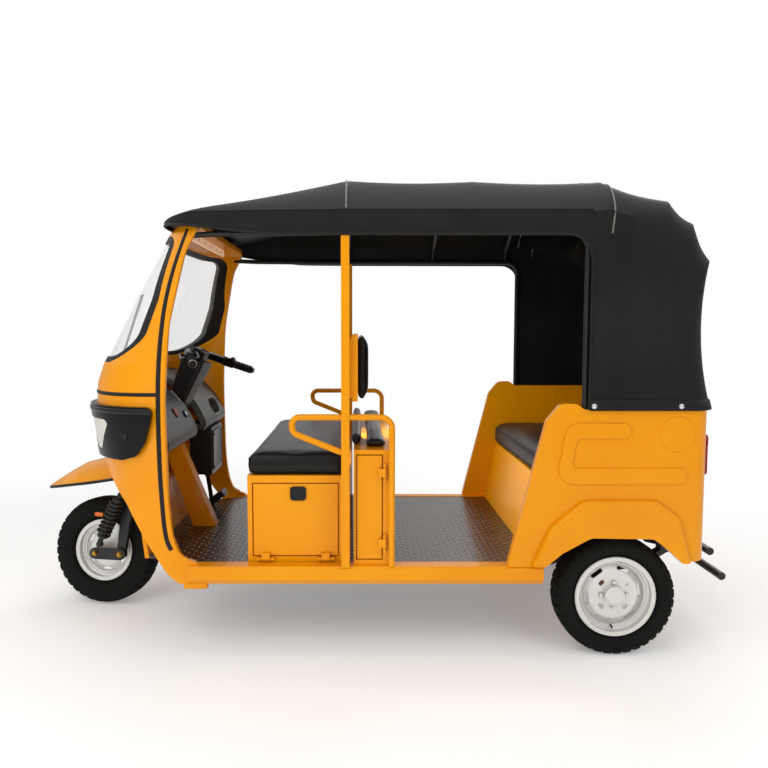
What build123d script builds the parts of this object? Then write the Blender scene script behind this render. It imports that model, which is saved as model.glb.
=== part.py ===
import os
from math import cos, radians, sin

from build123d import *

os.makedirs("parts", exist_ok=True)

# Driving dimensions in millimetres: X forward, Y to the vehicle's left, Z up from the ground.
OVERALL_LENGTH = 2900.0
NOSE_TIP_X = OVERALL_LENGTH / 2
TAIL_X = -OVERALL_LENGTH / 2

# Axles and wheels.
FRONT_AXLE_X = 1200.0
REAR_AXLE_X = -980.0
FRONT_TYRE_R = 245.0
REAR_TYRE_R = 233.0
FRONT_TYRE_W = 112.0
REAR_TYRE_W = 124.0
FRONT_RIM_R = 142.0
REAR_RIM_R = 158.0
REAR_WHEEL_Y = 535.0
AXLE_R = 10.0
SPINDLE_R = 17.0
RUNNING_GAP = 0.3

# Steering axis: it leans back by the rake from the handlebar's middle down to the fork.
RAKE = 25.0
HEAD_X = 760.0
HEAD_Z = 1140.0
STEER_REST = -12.0
STEM_R = 18.0
HEAD_TUBE_R = 30.0
HEAD_TUBE_LOW = -645.0
HEAD_TUBE_HIGH = -330.0
CLAMP_LOW = 6.0
CROWN_LOW = -700.0
CROWN_HIGH = -655.0
LEG_Y = 92.0
FRONT_AXLE_Z = 246.6
PIVOT_X = 1079.0
PIVOT_Z = FRONT_AXLE_Z

# Floor, sills and chassis.
FLOOR_TOP = 362.0
FLOOR_T = 12.0
FLOOR_FRONT_X = 868.0
FLOOR_REAR_X = -668.0
SILL_OUT_Y = 620.0
SILL_IN_Y = 556.0
SILL_LOW_Z = 290.0
SILL_TOP_Z = 364.0
RAIL_Y = 300.0
RAIL_W = 44.0
RAIL_LOW_Z = 270.0
RAIL_TOP_Z = FLOOR_TOP - FLOOR_T
REAR_RAIL_LOW_Z = 400.0
REAR_RAIL_TOP_Z = 462.0

# Front shell.
SHELL_T = 22.0
WAIST_Z = 1026.0
SHELL_TOP_Z = 1688.0
SCREEN_LOW_Z = 1142.0
SCREEN_TOP_Z = 1640.0
SCREEN_LOW_HALF = 575.0
SCREEN_MID_Z = 1394.0
SCREEN_MID_HALF = 545.0
SCREEN_TOP_HALF = 478.0
SCREEN_ROUND = (110.0, 110.0, 240.0, 70.0, 70.0, 240.0)
GLASS_T = 6.0
SEAL_W = 20.0

# Seat box and locker box.
SEAT_FRONT_X = 455.0
SEAT_REAR_X = 54.0
SEAT_HALF = 548.0
SEAT_TOP_Z = 704.0
BOX_WALL = 18.0
DOOR_GAP = 5.0
DOOR_T = 16.0
BATTERY_DOOR = (102.0, 432.0, 388.0, 671.0)
LOCKER_FRONT_X = 40.0
LOCKER_REAR_X = -118.0
LOCKER_HALF = 592.0
LOCKER_TOP_Z = 812.0
LOCKER_DOOR = (-68.0, 26.0, 388.0, 790.0)
HINGE_R = 4.0
KNUCKLE_R = 8.0

# Pillars, rails and rear tub.
PILLAR_X = 71.0
PILLAR_Y = 610.0
PILLAR_W = 31.0
PILLAR_TOP_Z = 1626.0
RAIL_TUBE_R = 12.0
TUB_OUT_Y = 620.0
TUB_T = 30.0
TUB_REAR_X = -1318.0
TUB_CORNER_R = 70.0
TUB_TOP_Z = 970.0
TUB_LOW_Z = 385.0
TUB_SPLIT_Y = 540.0
BENCH_DECK_Z = 660.0
BENCH_T = 20.0

# Soft top.
TOP_HALF = 632.0
TOP_T = 12.0
TOP_SPLIT_X = -845.0
VALANCE_Z = 1622.0
TOP_CROWN_Z = 1854.0
TOP_SEAM_Z = 1714.0
TOP_CROWN_HALF = 420.0
TOP_REAR_R = 100.0
HEADER_STRIP = (610.0, 720.0, 370.0)

RAKE_S = sin(radians(RAKE))
RAKE_C = cos(radians(RAKE))
STEER_PLANE = Plane(
    origin=(HEAD_X, 0, HEAD_Z), x_dir=(RAKE_C, 0, RAKE_S), z_dir=(-RAKE_S, 0, RAKE_C)
)
STEER_AXIS = Axis((HEAD_X, 0, HEAD_Z), (-RAKE_S, 0, RAKE_C))


def side_plane(y):
    """Plane across the vehicle at y, drawn with x forward and y up."""
    return Plane(origin=(0, y, 0), x_dir=(1, 0, 0), z_dir=(0, -1, 0))


def front_plane(x):
    """Plane at x, drawn with x to the left of the vehicle and y up."""
    return Plane(origin=(x, 0, 0), x_dir=(0, 1, 0), z_dir=(1, 0, 0))


def level(z):
    """Level plane at height z, drawn with x forward and y to the left."""
    return Plane(origin=(0, 0, z), x_dir=(1, 0, 0), z_dir=(0, 0, 1))


def save(piece, name):
    piece.label = name
    export_step(piece, "parts/" + name + ".step")


def steered(piece):
    """Turn a piece of the steering to the angle it is parked at."""
    return piece.rotate(STEER_AXIS, STEER_REST)


def box(x0, x1, y0, y1, z0, z1):
    """Box between two corners, for use inside a part."""
    with Locations(((x0 + x1) / 2, (y0 + y1) / 2, (z0 + z1) / 2)):
        return Box(x1 - x0, y1 - y0, z1 - z0, mode=Mode.PRIVATE)


def span(side, near, far):
    """The two y values, lower first, of a stretch on one side of the vehicle."""
    return min(side * near, side * far), max(side * near, side * far)


# Front shell: D-shaped level sections, from table columns z, nose x, half width, corner radius.
SHELL_SECTIONS = (
    (270.0, 1050.0, 600.0, 330.0),
    (690.0, 1056.0, 602.0, 330.0),
    (955.0, 1098.0, 604.0, 330.0),
    (1060.0, 1091.0, 602.0, 330.0),
    (1134.0, 1066.0, 598.0, 325.0),
    (1400.0, 930.0, 578.0, 300.0),
    (1650.0, 788.0, 556.0, 270.0),
    (SHELL_TOP_Z, 752.0, 546.0, 255.0),
)
SHELL_REAR_X = 420.0
NOSE_CROWN = 26.0


def shell_form(grow, rear_x=SHELL_REAR_X, top=0.0):
    """Solid of the front shell's outside, grown by a distance (negative for the inside)."""
    with BuildPart() as form:
        for z, nose_x, half, corner in SHELL_SECTIONS:
            z_here = z + top if z == SHELL_TOP_Z else z
            with BuildSketch(level(z_here)):
                with BuildLine():
                    FilletPolyline(
                        (rear_x, -half - grow),
                        (nose_x + grow, -half - grow),
                        (nose_x + NOSE_CROWN + grow, 0),
                        (nose_x + grow, half + grow),
                        (rear_x, half + grow),
                        radius=(corner + grow, 1500.0, corner + grow),
                    )
                    Line((rear_x, half + grow), (rear_x, -half - grow))
                make_face()
        loft(ruled=True)
    return form.part


def side_cut(points, radius, half=900.0):
    """Solid across the whole width from a side outline."""
    with BuildPart() as cut:
        with BuildSketch(side_plane(half)):
            with BuildLine():
                FilletPolyline(*points, radius=radius, close=True)
            make_face()
        extrude(amount=2 * half)
    return cut.part


def front_cut(points, radius, x0=300.0, x1=1400.0):
    """Solid along the length from a front outline of y and z."""
    with BuildPart() as cut:
        with BuildSketch(front_plane(x0)):
            with BuildLine():
                FilletPolyline(*points, radius=radius, close=True)
            make_face()
        extrude(amount=x1 - x0)
    return cut.part


DOOR_EDGE = (
    (300.0, 200.0),
    (612.0, 200.0),
    (626.0, 374.0),
    (704.0, 388.0),
    (738.0, 480.0),
    (750.0, 620.0),
    (757.0, 1000.0),
    (742.0, 1290.0),
    (684.0, 1577.0),
    (636.0, 1660.0),
    (636.0, 1800.0),
    (300.0, 1800.0),
)
SHELL_FRONT_EDGE = (
    (1500.0, 100.0),
    (1500.0, 690.0),
    (1022.0, 690.0),
    (929.0, 590.0),
    (839.0, 445.0),
    (760.0, 330.0),
    (715.0, 290.0),
    (600.0, 290.0),
    (600.0, 100.0),
)


def screen_outline(grow):
    low = SCREEN_LOW_Z - grow
    high = SCREEN_TOP_Z + grow
    return (
        (-SCREEN_LOW_HALF - grow, low),
        (SCREEN_LOW_HALF + grow, low),
        (SCREEN_MID_HALF + grow, SCREEN_MID_Z),
        (SCREEN_TOP_HALF + grow, high),
        (-SCREEN_TOP_HALF - grow, high),
        (-SCREEN_MID_HALF - grow, SCREEN_MID_Z),
    )


def screen_round(grow):
    return tuple(radius + grow for radius in SCREEN_ROUND)


shell_outside = shell_form(0.0)
shell_inside = shell_form(-SHELL_T, rear_x=SHELL_REAR_X - 50, top=-SHELL_T)
door_cut = side_cut(DOOR_EDGE, 60.0)
nose_cut = side_cut(SHELL_FRONT_EDGE, 40.0)
screen_cut = front_cut(screen_outline(0.0), screen_round(0.0))

with BuildPart() as front_shell_lower:
    add(shell_outside)
    add(shell_inside, mode=Mode.SUBTRACT)
    add(door_cut, mode=Mode.SUBTRACT)
    add(nose_cut, mode=Mode.SUBTRACT)
    split(bisect_by=level(WAIST_Z), keep=Keep.BOTTOM)
save(front_shell_lower.part, "front_shell_lower")

with BuildPart() as front_shell_upper:
    add(shell_outside)
    add(shell_inside, mode=Mode.SUBTRACT)
    add(door_cut, mode=Mode.SUBTRACT)
    add(screen_cut, mode=Mode.SUBTRACT)
    split(bisect_by=level(WAIST_Z), keep=Keep.TOP)
save(front_shell_upper.part, "front_shell_upper")

# Windscreen: a rubber frame that fills the opening's edge and the pane inside it.
with BuildPart() as windscreen_seal:
    add(shell_form(-1.0))
    add(shell_form(-SHELL_T + 3.0, rear_x=SHELL_REAR_X - 50), mode=Mode.SUBTRACT)
    add(screen_cut, mode=Mode.INTERSECT)
    add(front_cut(screen_outline(-SEAL_W), screen_round(-SEAL_W)), mode=Mode.SUBTRACT)
save(windscreen_seal.part, "windscreen_seal")

with BuildPart() as windscreen_glass:
    add(shell_form(-7.0))
    add(shell_form(-7.0 - GLASS_T, rear_x=SHELL_REAR_X - 50), mode=Mode.SUBTRACT)
    add(front_cut(screen_outline(-SEAL_W), screen_round(-SEAL_W)), mode=Mode.INTERSECT)
save(windscreen_glass.part, "windscreen_glass")

# Headlamp pods on the nose's corners, each with a lens set into its front.
POD_OUTLINE = (
    (1250.0, 978.0),
    (797.0, 978.0),
    (806.0, 925.0),
    (832.0, 838.0),
    (868.0, 790.0),
    (930.0, 770.0),
    (1250.0, 770.0),
)
LENS_OUTLINE = ((330.0, 924.0), (562.0, 924.0), (488.0, 798.0), (372.0, 798.0))
pod_cut = side_cut(POD_OUTLINE, 26.0)
lens_left_cut = front_cut(LENS_OUTLINE, 16.0)
lens_right_cut = mirror(lens_left_cut, about=Plane.XZ)
pod_skin = shell_form(24.0)

with BuildPart() as headlamp_pods:
    add(pod_skin)
    add(shell_outside, mode=Mode.SUBTRACT)
    add(pod_cut, mode=Mode.INTERSECT)
    add(box(600, 1400, -110, 110, 600, 1100), mode=Mode.SUBTRACT)
    add(box(200, 760, -900, 900, 600, 1100), mode=Mode.SUBTRACT)
    add(lens_left_cut, mode=Mode.SUBTRACT)
    add(lens_right_cut, mode=Mode.SUBTRACT)
save(headlamp_pods.part, "headlamp_pods")

with BuildPart() as headlamp_lenses:
    add(shell_form(20.0))
    add(shell_outside, mode=Mode.SUBTRACT)
    add(pod_cut, mode=Mode.INTERSECT)
    add(lens_left_cut + lens_right_cut, mode=Mode.INTERSECT)
save(headlamp_lenses.part, "headlamp_lenses")

# Mudguard over the front wheel: arched sections, from columns x, half width, low z, top z.
MUDGUARD_SECTIONS = (
    (1052.0, 205.0, 622.0, 706.0),
    (1210.0, 190.0, 596.0, 676.0),
    (1285.0, 168.0, 584.0, 656.0),
    (1350.0, 140.0, 572.0, 620.0),
    (1410.0, 90.0, 557.0, 582.0),
    (NOSE_TIP_X, 28.0, 543.0, 556.0),
)
MUDGUARD_T = 8.0


def mudguard_form(inset):
    with BuildPart() as form:
        for x, half, low, top in MUDGUARD_SECTIONS:
            x_here = x - inset
            with BuildSketch(front_plane(x_here)):
                with BuildLine():
                    ThreePointArc((-half + inset, low - inset), (0, top - inset), (half - inset, low - inset))
                    Line((half - inset, low - inset), (-half + inset, low - inset))
                make_face()
        loft(ruled=True)
    return form.part


with BuildPart() as front_mudguard:
    add(mudguard_form(0.0))
    add(mudguard_form(MUDGUARD_T), mode=Mode.SUBTRACT)
    add(shell_outside, mode=Mode.SUBTRACT)
save(front_mudguard.part, "front_mudguard")

# Wheel-well panel between the shell's sides, ahead of the floor.
WELL_OUTLINE = (
    (FLOOR_FRONT_X, RAIL_TOP_Z),
    (FLOOR_FRONT_X + 16, RAIL_TOP_Z),
    (914.0, 604.0),
    (1044.0, 676.0),
    (1044.0, 694.0),
    (900.0, 617.0),
)
with BuildPart() as wheel_well:
    with BuildSketch(side_plane(470)):
        with BuildLine():
            Polyline(*WELL_OUTLINE, close=True)
        make_face()
    extrude(amount=940)
    add(shell_inside, mode=Mode.INTERSECT)
    with Locations(STEER_PLANE):
        Cylinder(HEAD_TUBE_R + 1, 1600, mode=Mode.SUBTRACT)
save(wheel_well.part, "wheel_well")

# Steering head: tube round the stem, with the brace down to the floor.
BRACE_OUTLINE = (
    (684.0, FLOOR_TOP),
    (789.0, FLOOR_TOP),
    (905.0, 700.0),
    (935.0, 770.0),
    (905.0, 822.0),
    (840.0, 742.0),
)
with BuildPart() as steering_head:
    with BuildSketch(side_plane(34)):
        with BuildLine():
            Polyline(*BRACE_OUTLINE, close=True)
        make_face()
    extrude(amount=68)
    with BuildSketch(STEER_PLANE.offset(HEAD_TUBE_LOW)):
        Circle(HEAD_TUBE_R)
    extrude(amount=HEAD_TUBE_HIGH - HEAD_TUBE_LOW)
    with BuildSketch(STEER_PLANE.offset(HEAD_TUBE_LOW - 100)):
        Circle(STEM_R + RUNNING_GAP)
    extrude(amount=HEAD_TUBE_HIGH - HEAD_TUBE_LOW + 200, mode=Mode.SUBTRACT)
save(steering_head.part, "steering_head")

# Column: stem, fork crown and two legs down to the link pivots.
with BuildPart() as steering_fork:
    with BuildSketch(STEER_PLANE.offset(CROWN_LOW)):
        RectangleRounded(84, 2 * LEG_Y + 44, 18)
    extrude(amount=CROWN_HIGH - CROWN_LOW)
    with BuildSketch(STEER_PLANE.offset(CROWN_HIGH)):
        Circle(STEM_R)
    extrude(amount=-CROWN_HIGH + CLAMP_LOW)
    for side in (-1, 1):
        with BuildSketch(side_plane(side * LEG_Y + 11)):
            with BuildLine():
                Polyline(
                    (1018.0, 512.0), (1072.0, 530.0), (PIVOT_X + 20, PIVOT_Z + 14), (PIVOT_X + 20, PIVOT_Z - 14),
                    (PIVOT_X - 20, PIVOT_Z - 14), (PIVOT_X - 20, PIVOT_Z + 14), close=True
                )
            make_face()
        extrude(amount=22)
save(steered(steering_fork.part), "steering_fork")

# Leading links from the pivots to the axle, outside the legs.
LINK_IN_Y = LEG_Y + 11
LINK_T = 14.0
with BuildPart() as leading_links:
    for side in (-1, 1):
        with BuildSketch(side_plane(side * (LINK_IN_Y + LINK_T / 2) + LINK_T / 2)):
            with Locations(((PIVOT_X + FRONT_AXLE_X) / 2, PIVOT_Z)):
                SlotCenterToCenter(FRONT_AXLE_X - PIVOT_X, 52)
            with Locations((FRONT_AXLE_X, FRONT_AXLE_Z)):
                Circle(AXLE_R - 1, mode=Mode.SUBTRACT)
        extrude(amount=LINK_T)

with BuildPart() as front_axle:
    with BuildSketch(side_plane(LINK_IN_Y + LINK_T + 10).offset(0)):
        with Locations((FRONT_AXLE_X, FRONT_AXLE_Z)):
            Circle(AXLE_R)
    extrude(amount=2 * (LINK_IN_Y + LINK_T + 10))

# Spring-damper units between the links and the crown, outside the links.
SHOCK_Y = LINK_IN_Y + LINK_T + 24
SHOCK_LOW = (1168.0, 292.0)
SHOCK_TOP = (1064.0, 520.0)


def shock_plane(side):
    dx = SHOCK_TOP[0] - SHOCK_LOW[0]
    dz = SHOCK_TOP[1] - SHOCK_LOW[1]
    return Plane(origin=(SHOCK_LOW[0], side * SHOCK_Y, SHOCK_LOW[1]), x_dir=(0, 1, 0), z_dir=(dx, 0, dz))


SHOCK_LENGTH = ((SHOCK_TOP[0] - SHOCK_LOW[0]) ** 2 + (SHOCK_TOP[1] - SHOCK_LOW[1]) ** 2) ** 0.5
with BuildPart() as front_shocks:
    for side in (-1, 1):
        with BuildSketch(shock_plane(side)):
            Circle(12)
        extrude(amount=SHOCK_LENGTH)
        with BuildSketch(shock_plane(side).offset(40)):
            Circle(23)
        extrude(amount=SHOCK_LENGTH - 60)
        with BuildSketch(side_plane(side * (LINK_IN_Y + LINK_T + 12) + 12)):
            with Locations(SHOCK_LOW):
                Circle(12)
        extrude(amount=24)
        with BuildSketch(side_plane(side * (LEG_Y + 22 + 16) + 16)):
            with Locations(SHOCK_TOP):
                Circle(12)
        extrude(amount=32)
    add(leading_links.part)
    add(front_axle.part)
    add(steering_fork.part, mode=Mode.SUBTRACT)
save(steered(front_shocks.part), "front_suspension")

# Handlebar in the steering plane, its grips and the cowl round the stem.
BAR_Z = 18.0
BAR_PATH = ((-132.0, 352.0), (22.0, 96.0), (22.0, -96.0), (-132.0, -352.0))
BAR_R = 11.0
GRIP_R = 17.0
GRIP_L = 125.0
BAR_END_LENGTH = ((BAR_PATH[0][0] - BAR_PATH[1][0]) ** 2 + (BAR_PATH[0][1] - BAR_PATH[1][1]) ** 2) ** 0.5
BAR_END_DIR = (
    (BAR_PATH[0][0] - BAR_PATH[1][0]) / BAR_END_LENGTH,
    (BAR_PATH[0][1] - BAR_PATH[1][1]) / BAR_END_LENGTH,
)
with BuildPart() as handlebar:
    with BuildLine(STEER_PLANE.offset(BAR_Z)) as bar_path:
        FilletPolyline(*BAR_PATH, radius=50)
    with BuildSketch(Plane(origin=bar_path.line @ 0, z_dir=bar_path.line % 0)):
        Circle(BAR_R)
    sweep(path=bar_path.line)
    with BuildSketch(STEER_PLANE.offset(CLAMP_LOW)):
        with Locations((8, 0)):
            RectangleRounded(78, 60, 10)
    extrude(amount=34)

with BuildPart() as handle_grips:
    for side in (-1, 1):
        out = Vector(BAR_END_DIR[0], side * BAR_END_DIR[1], 0)
        end = Vector(BAR_PATH[0][0], side * BAR_PATH[0][1], BAR_Z)
        start = STEER_PLANE.from_local_coords(end - out * GRIP_L)
        axis = STEER_PLANE.from_local_coords(end) - start
        with BuildSketch(Plane(origin=start, z_dir=axis)):
            Circle(GRIP_R)
        extrude(amount=GRIP_L + 8)

with BuildPart() as column_cowl:
    with BuildSketch(STEER_PLANE.offset(-316)):
        RectangleRounded(70, 70, 18)
    with BuildSketch(STEER_PLANE.offset(-40)):
        RectangleRounded(104, 130, 18)
    with BuildSketch(STEER_PLANE.offset(-2)):
        RectangleRounded(104, 130, 18)
    loft(ruled=True)
    with BuildSketch(STEER_PLANE.offset(-400)):
        Circle(STEM_R + 0.2)
    extrude(amount=410, mode=Mode.SUBTRACT)
    add(handlebar.part)
    add(handle_grips.part)
save(steered(column_cowl.part), "handlebar")

# Dashboard across the shell, notched round the column.
DASH_OUTLINE = (
    (1062.0, 1096.0),
    (900.0, 1040.0),
    (800.0, 930.0),
    (748.0, 832.0),
    (772.0, 790.0),
    (850.0, 800.0),
    (960.0, 900.0),
    (1062.0, 940.0),
)
COLUMN_NOTCH = 94.0
with BuildPart() as dashboard:
    with BuildSketch(side_plane(640)):
        with BuildLine():
            FilletPolyline(*DASH_OUTLINE, radius=22, close=True)
        make_face()
    extrude(amount=1280)
    add(shell_inside, mode=Mode.INTERSECT)
    add(box(600, 1200, -COLUMN_NOTCH, COLUMN_NOTCH, 600, 1300), mode=Mode.SUBTRACT)
    add(box(600, 812, -490, -310, 842, 916), mode=Mode.SUBTRACT)
save(dashboard.part, "dashboard")

# Control box under the dashboard's right half.
with BuildPart() as control_box:
    add(box(742, 850, -430, -180, 560, 792))
    add(dashboard.part, mode=Mode.SUBTRACT)
save(control_box.part, "control_box")

# Brake pedal on the floor at the driver's right foot.
with BuildPart() as brake_pedal:
    with BuildSketch(side_plane(-320)):
        with BuildLine():
            Polyline(
                (780.0, FLOOR_TOP), (812.0, FLOOR_TOP), (800.0, 396.0), (722.0, 452.0), (704.0, 430.0), close=True
            )
        make_face()
    extrude(amount=64)
save(brake_pedal.part, "brake_pedal")

# Wiper at the foot of the windscreen: arm and blade along the pane.
with BuildPart() as wiper:
    add(shell_form(3.0))
    add(shell_form(-5.0, rear_x=SHELL_REAR_X - 50), mode=Mode.SUBTRACT)
    add(
        front_cut(((90.0, 1150.0), (106.0, 1150.0), (268.0, 1420.0), (252.0, 1420.0)), 3.0),
        mode=Mode.INTERSECT,
    )
    add(windscreen_seal.part, mode=Mode.SUBTRACT)
    add(front_shell_upper.part, mode=Mode.SUBTRACT)
    add(windscreen_glass.part, mode=Mode.SUBTRACT)
save(wiper.part, "wiper")

# Chassis: two kicked-up rails and the members between them.
RAIL_OUTLINE = (
    (800.0, RAIL_LOW_Z),
    (800.0, RAIL_TOP_Z),
    (-700.0, RAIL_TOP_Z),
    (-812.0, REAR_RAIL_TOP_Z),
    (TUB_REAR_X + TUB_T, REAR_RAIL_TOP_Z),
    (TUB_REAR_X + TUB_T, REAR_RAIL_LOW_Z),
    (-786.0, REAR_RAIL_LOW_Z),
    (-674.0, RAIL_LOW_Z),
)
LEAF_Y = 350.0
LEAF_FRONT_X = -720.0
LEAF_REAR_X = -1270.0
LEAF_EYE_Z = 372.0
with BuildPart() as chassis_rails:
    for side in (-1, 1):
        with BuildSketch(side_plane(side * RAIL_Y + RAIL_W / 2)):
            with BuildLine():
                Polyline(*RAIL_OUTLINE, close=True)
            make_face()
        extrude(amount=RAIL_W)
save(chassis_rails.part, "chassis_rails")

# Cross members, from columns x, low z, top z, half length beyond the rails.
CROSS_MEMBERS = (
    (700.0, 280.0, RAIL_TOP_Z),
    (260.0, 280.0, RAIL_TOP_Z),
    (-40.0, 280.0, RAIL_TOP_Z),
    (-560.0, 280.0, RAIL_TOP_Z),
    (-1256.0, 402.0, REAR_RAIL_TOP_Z),
)
CROSS_W = 44.0
with BuildPart() as cross_members:
    for x, low, top in CROSS_MEMBERS:
        add(box(x - CROSS_W / 2, x + CROSS_W / 2, -RAIL_Y + RAIL_W / 2, RAIL_Y - RAIL_W / 2, low, top))
        if top == RAIL_TOP_Z and x < 650:
            for side in (-1, 1):
                add(box(x - CROSS_W / 2, x + CROSS_W / 2, *span(side, RAIL_Y + RAIL_W / 2, SILL_IN_Y), low + 20, top))
save(cross_members.part, "cross_members")

with BuildPart() as floor_pan:
    with BuildSketch(level(RAIL_TOP_Z)):
        Polygon(
            (FLOOR_REAR_X, -SILL_IN_Y), (640, -SILL_IN_Y), (FLOOR_FRONT_X, -470), (FLOOR_FRONT_X, 470),
            (640, SILL_IN_Y), (FLOOR_REAR_X, SILL_IN_Y), align=None
        )
    extrude(amount=FLOOR_T)
    add(front_shell_lower.part, mode=Mode.SUBTRACT)
save(floor_pan.part, "floor_pan")

# Sills along both sides, with a rounded lower edge.
SILL_OUTLINE = (
    (SILL_IN_Y, SILL_LOW_Z),
    (SILL_OUT_Y - 22, SILL_LOW_Z),
    (SILL_OUT_Y, SILL_LOW_Z + 22),
    (SILL_OUT_Y, SILL_TOP_Z - 8),
    (SILL_OUT_Y - 8, SILL_TOP_Z),
    (SILL_IN_Y, SILL_TOP_Z),
)
SILL_FRONT_X = 676.0
SILL_REAR_X = -690.0
with BuildPart() as sills:
    with BuildSketch(front_plane(SILL_REAR_X)):
        Polygon(*SILL_OUTLINE, align=None)
    extrude(amount=SILL_FRONT_X - SILL_REAR_X)
    mirror(about=Plane.XZ)
    add(front_shell_lower.part, mode=Mode.SUBTRACT)
    add(floor_pan.part, mode=Mode.SUBTRACT)
save(sills.part, "sills")

# Driver's seat box: open at both sides for the battery doors.
BD_X0, BD_X1, BD_Z0, BD_Z1 = BATTERY_DOOR
BATTERY_HINGE_Y = SEAT_HALF + 14
BATTERY_HINGE_Z = 378.0
HINGE_PINS = (150.0, 384.0)
with BuildPart() as seat_box:
    add(box(SEAT_REAR_X, SEAT_FRONT_X, -SEAT_HALF, SEAT_HALF, FLOOR_TOP, SEAT_TOP_Z))
    add(
        box(
            SEAT_REAR_X + BOX_WALL, SEAT_FRONT_X - BOX_WALL, -SEAT_HALF + DOOR_T, SEAT_HALF - DOOR_T,
            FLOOR_TOP + BOX_WALL - 6, SEAT_TOP_Z - BOX_WALL
        ),
        mode=Mode.SUBTRACT,
    )
    add(
        box(
            BD_X0 - DOOR_GAP, BD_X1 + DOOR_GAP, -900, 900, BD_Z0 - DOOR_GAP, BD_Z1 + DOOR_GAP
        ),
        mode=Mode.SUBTRACT,
    )
    for side in (-1, 1):
        for x in HINGE_PINS:
            with BuildSketch(Plane(origin=(x - 34, side * BATTERY_HINGE_Y, BATTERY_HINGE_Z), z_dir=(1, 0, 0))):
                Circle(HINGE_R)
            extrude(amount=68)
            for end in (-34, 22):
                add(box(x + end, x + end + 12, *span(side, SEAT_HALF, BATTERY_HINGE_Y + 5), BATTERY_HINGE_Z - 5, BD_Z0 - 5))
save(seat_box.part, "seat_box")


def battery_door(side):
    """Drop-down door with two knuckles on its lower edge."""
    with BuildPart() as door:
        add(box(BD_X0, BD_X1, *span(side, SEAT_HALF - DOOR_T, SEAT_HALF), BD_Z0, BD_Z1))
        for x in HINGE_PINS:
            add(box(x - 16, x + 16, *span(side, SEAT_HALF, BATTERY_HINGE_Y + 4), BD_Z0 + 1, BD_Z0 + 12))
            add(box(x - 16, x + 16, *span(side, BATTERY_HINGE_Y - 4, BATTERY_HINGE_Y + 4), BATTERY_HINGE_Z, BD_Z0 + 12))
            with BuildSketch(Plane(origin=(x - 16, side * BATTERY_HINGE_Y, BATTERY_HINGE_Z), z_dir=(1, 0, 0))):
                Circle(KNUCKLE_R)
            extrude(amount=32)
            with BuildSketch(Plane(origin=(x - 17, side * BATTERY_HINGE_Y, BATTERY_HINGE_Z), z_dir=(1, 0, 0))):
                Circle(HINGE_R + RUNNING_GAP)
            extrude(amount=34, mode=Mode.SUBTRACT)
    return door.part


save(battery_door(1), "battery_door_left")
save(battery_door(-1), "battery_door_right")

with BuildPart() as battery_block:
    add(box(120, 410, -440, 440, FLOOR_TOP + BOX_WALL - 6, 600))
save(battery_block.part, "battery_block")

# Driver's cushion and low backrest.
CUSHION_H = 84.0
with BuildPart() as driver_cushion:
    add(box(60, SEAT_FRONT_X, -SEAT_HALF - 18, SEAT_HALF + 18, SEAT_TOP_Z, SEAT_TOP_Z + CUSHION_H))
    fillet(driver_cushion.edges().filter_by(Axis.Z), 40)
    fillet(driver_cushion.faces().sort_by(Axis.Z)[-1].edges(), 26)
save(driver_cushion.part, "driver_cushion")

with BuildPart() as driver_backrest:
    add(box(4, 54, -500, 500, LOCKER_TOP_Z, 870))
    fillet(driver_backrest.faces().sort_by(Axis.Z)[-1].edges(), 14)
save(driver_backrest.part, "driver_backrest")

# Locker box behind the driver: doors at both ends, a pad on top.
LD_X0, LD_X1, LD_Z0, LD_Z1 = LOCKER_DOOR
LOCKER_HINGE_X = -78.0
LOCKER_HINGE_Y = LOCKER_HALF + 14
LOCKER_PINS = (452.0, 726.0)
with BuildPart() as locker_box:
    add(box(LOCKER_REAR_X, LOCKER_FRONT_X, -LOCKER_HALF, LOCKER_HALF, FLOOR_TOP, LOCKER_TOP_Z))
    add(
        box(
            LOCKER_REAR_X + 14, LOCKER_FRONT_X - 14, -LOCKER_HALF + DOOR_T, LOCKER_HALF - DOOR_T,
            FLOOR_TOP + 12, LOCKER_TOP_Z - 14
        ),
        mode=Mode.SUBTRACT,
    )
    add(box(LD_X0 - DOOR_GAP, LD_X1 + DOOR_GAP, -900, 900, LD_Z0 - DOOR_GAP, LD_Z1 + DOOR_GAP), mode=Mode.SUBTRACT)
    for side in (-1, 1):
        for z in LOCKER_PINS:
            with BuildSketch(Plane(origin=(LOCKER_HINGE_X, side * LOCKER_HINGE_Y, z - 34), z_dir=(0, 0, 1))):
                Circle(HINGE_R)
            extrude(amount=68)
            for end in (-34, 22):
                add(box(LOCKER_HINGE_X - 5, LD_X0 - 5, *span(side, LOCKER_HALF, LOCKER_HINGE_Y + 5), z + end, z + end + 12))
    add(sills.part, mode=Mode.SUBTRACT)
save(locker_box.part, "locker_box")


def locker_door(side):
    """Door with two knuckles on its rear edge."""
    with BuildPart() as door:
        add(box(LD_X0, LD_X1, *span(side, LOCKER_HALF - DOOR_T, LOCKER_HALF), LD_Z0, LD_Z1))
        for z in LOCKER_PINS:
            add(box(LD_X0 + 1, LD_X0 + 12, *span(side, LOCKER_HALF, LOCKER_HINGE_Y + 4), z - 16, z + 16))
            add(box(LOCKER_HINGE_X, LD_X0 + 12, *span(side, LOCKER_HINGE_Y - 4, LOCKER_HINGE_Y + 4), z - 16, z + 16))
            with BuildSketch(Plane(origin=(LOCKER_HINGE_X, side * LOCKER_HINGE_Y, z - 16), z_dir=(0, 0, 1))):
                Circle(KNUCKLE_R)
            extrude(amount=32)
            with BuildSketch(Plane(origin=(LOCKER_HINGE_X, side * LOCKER_HINGE_Y, z - 17), z_dir=(0, 0, 1))):
                Circle(HINGE_R + RUNNING_GAP)
            extrude(amount=34, mode=Mode.SUBTRACT)
    return door.part


save(locker_door(1), "locker_door_left")
save(locker_door(-1), "locker_door_right")

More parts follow.
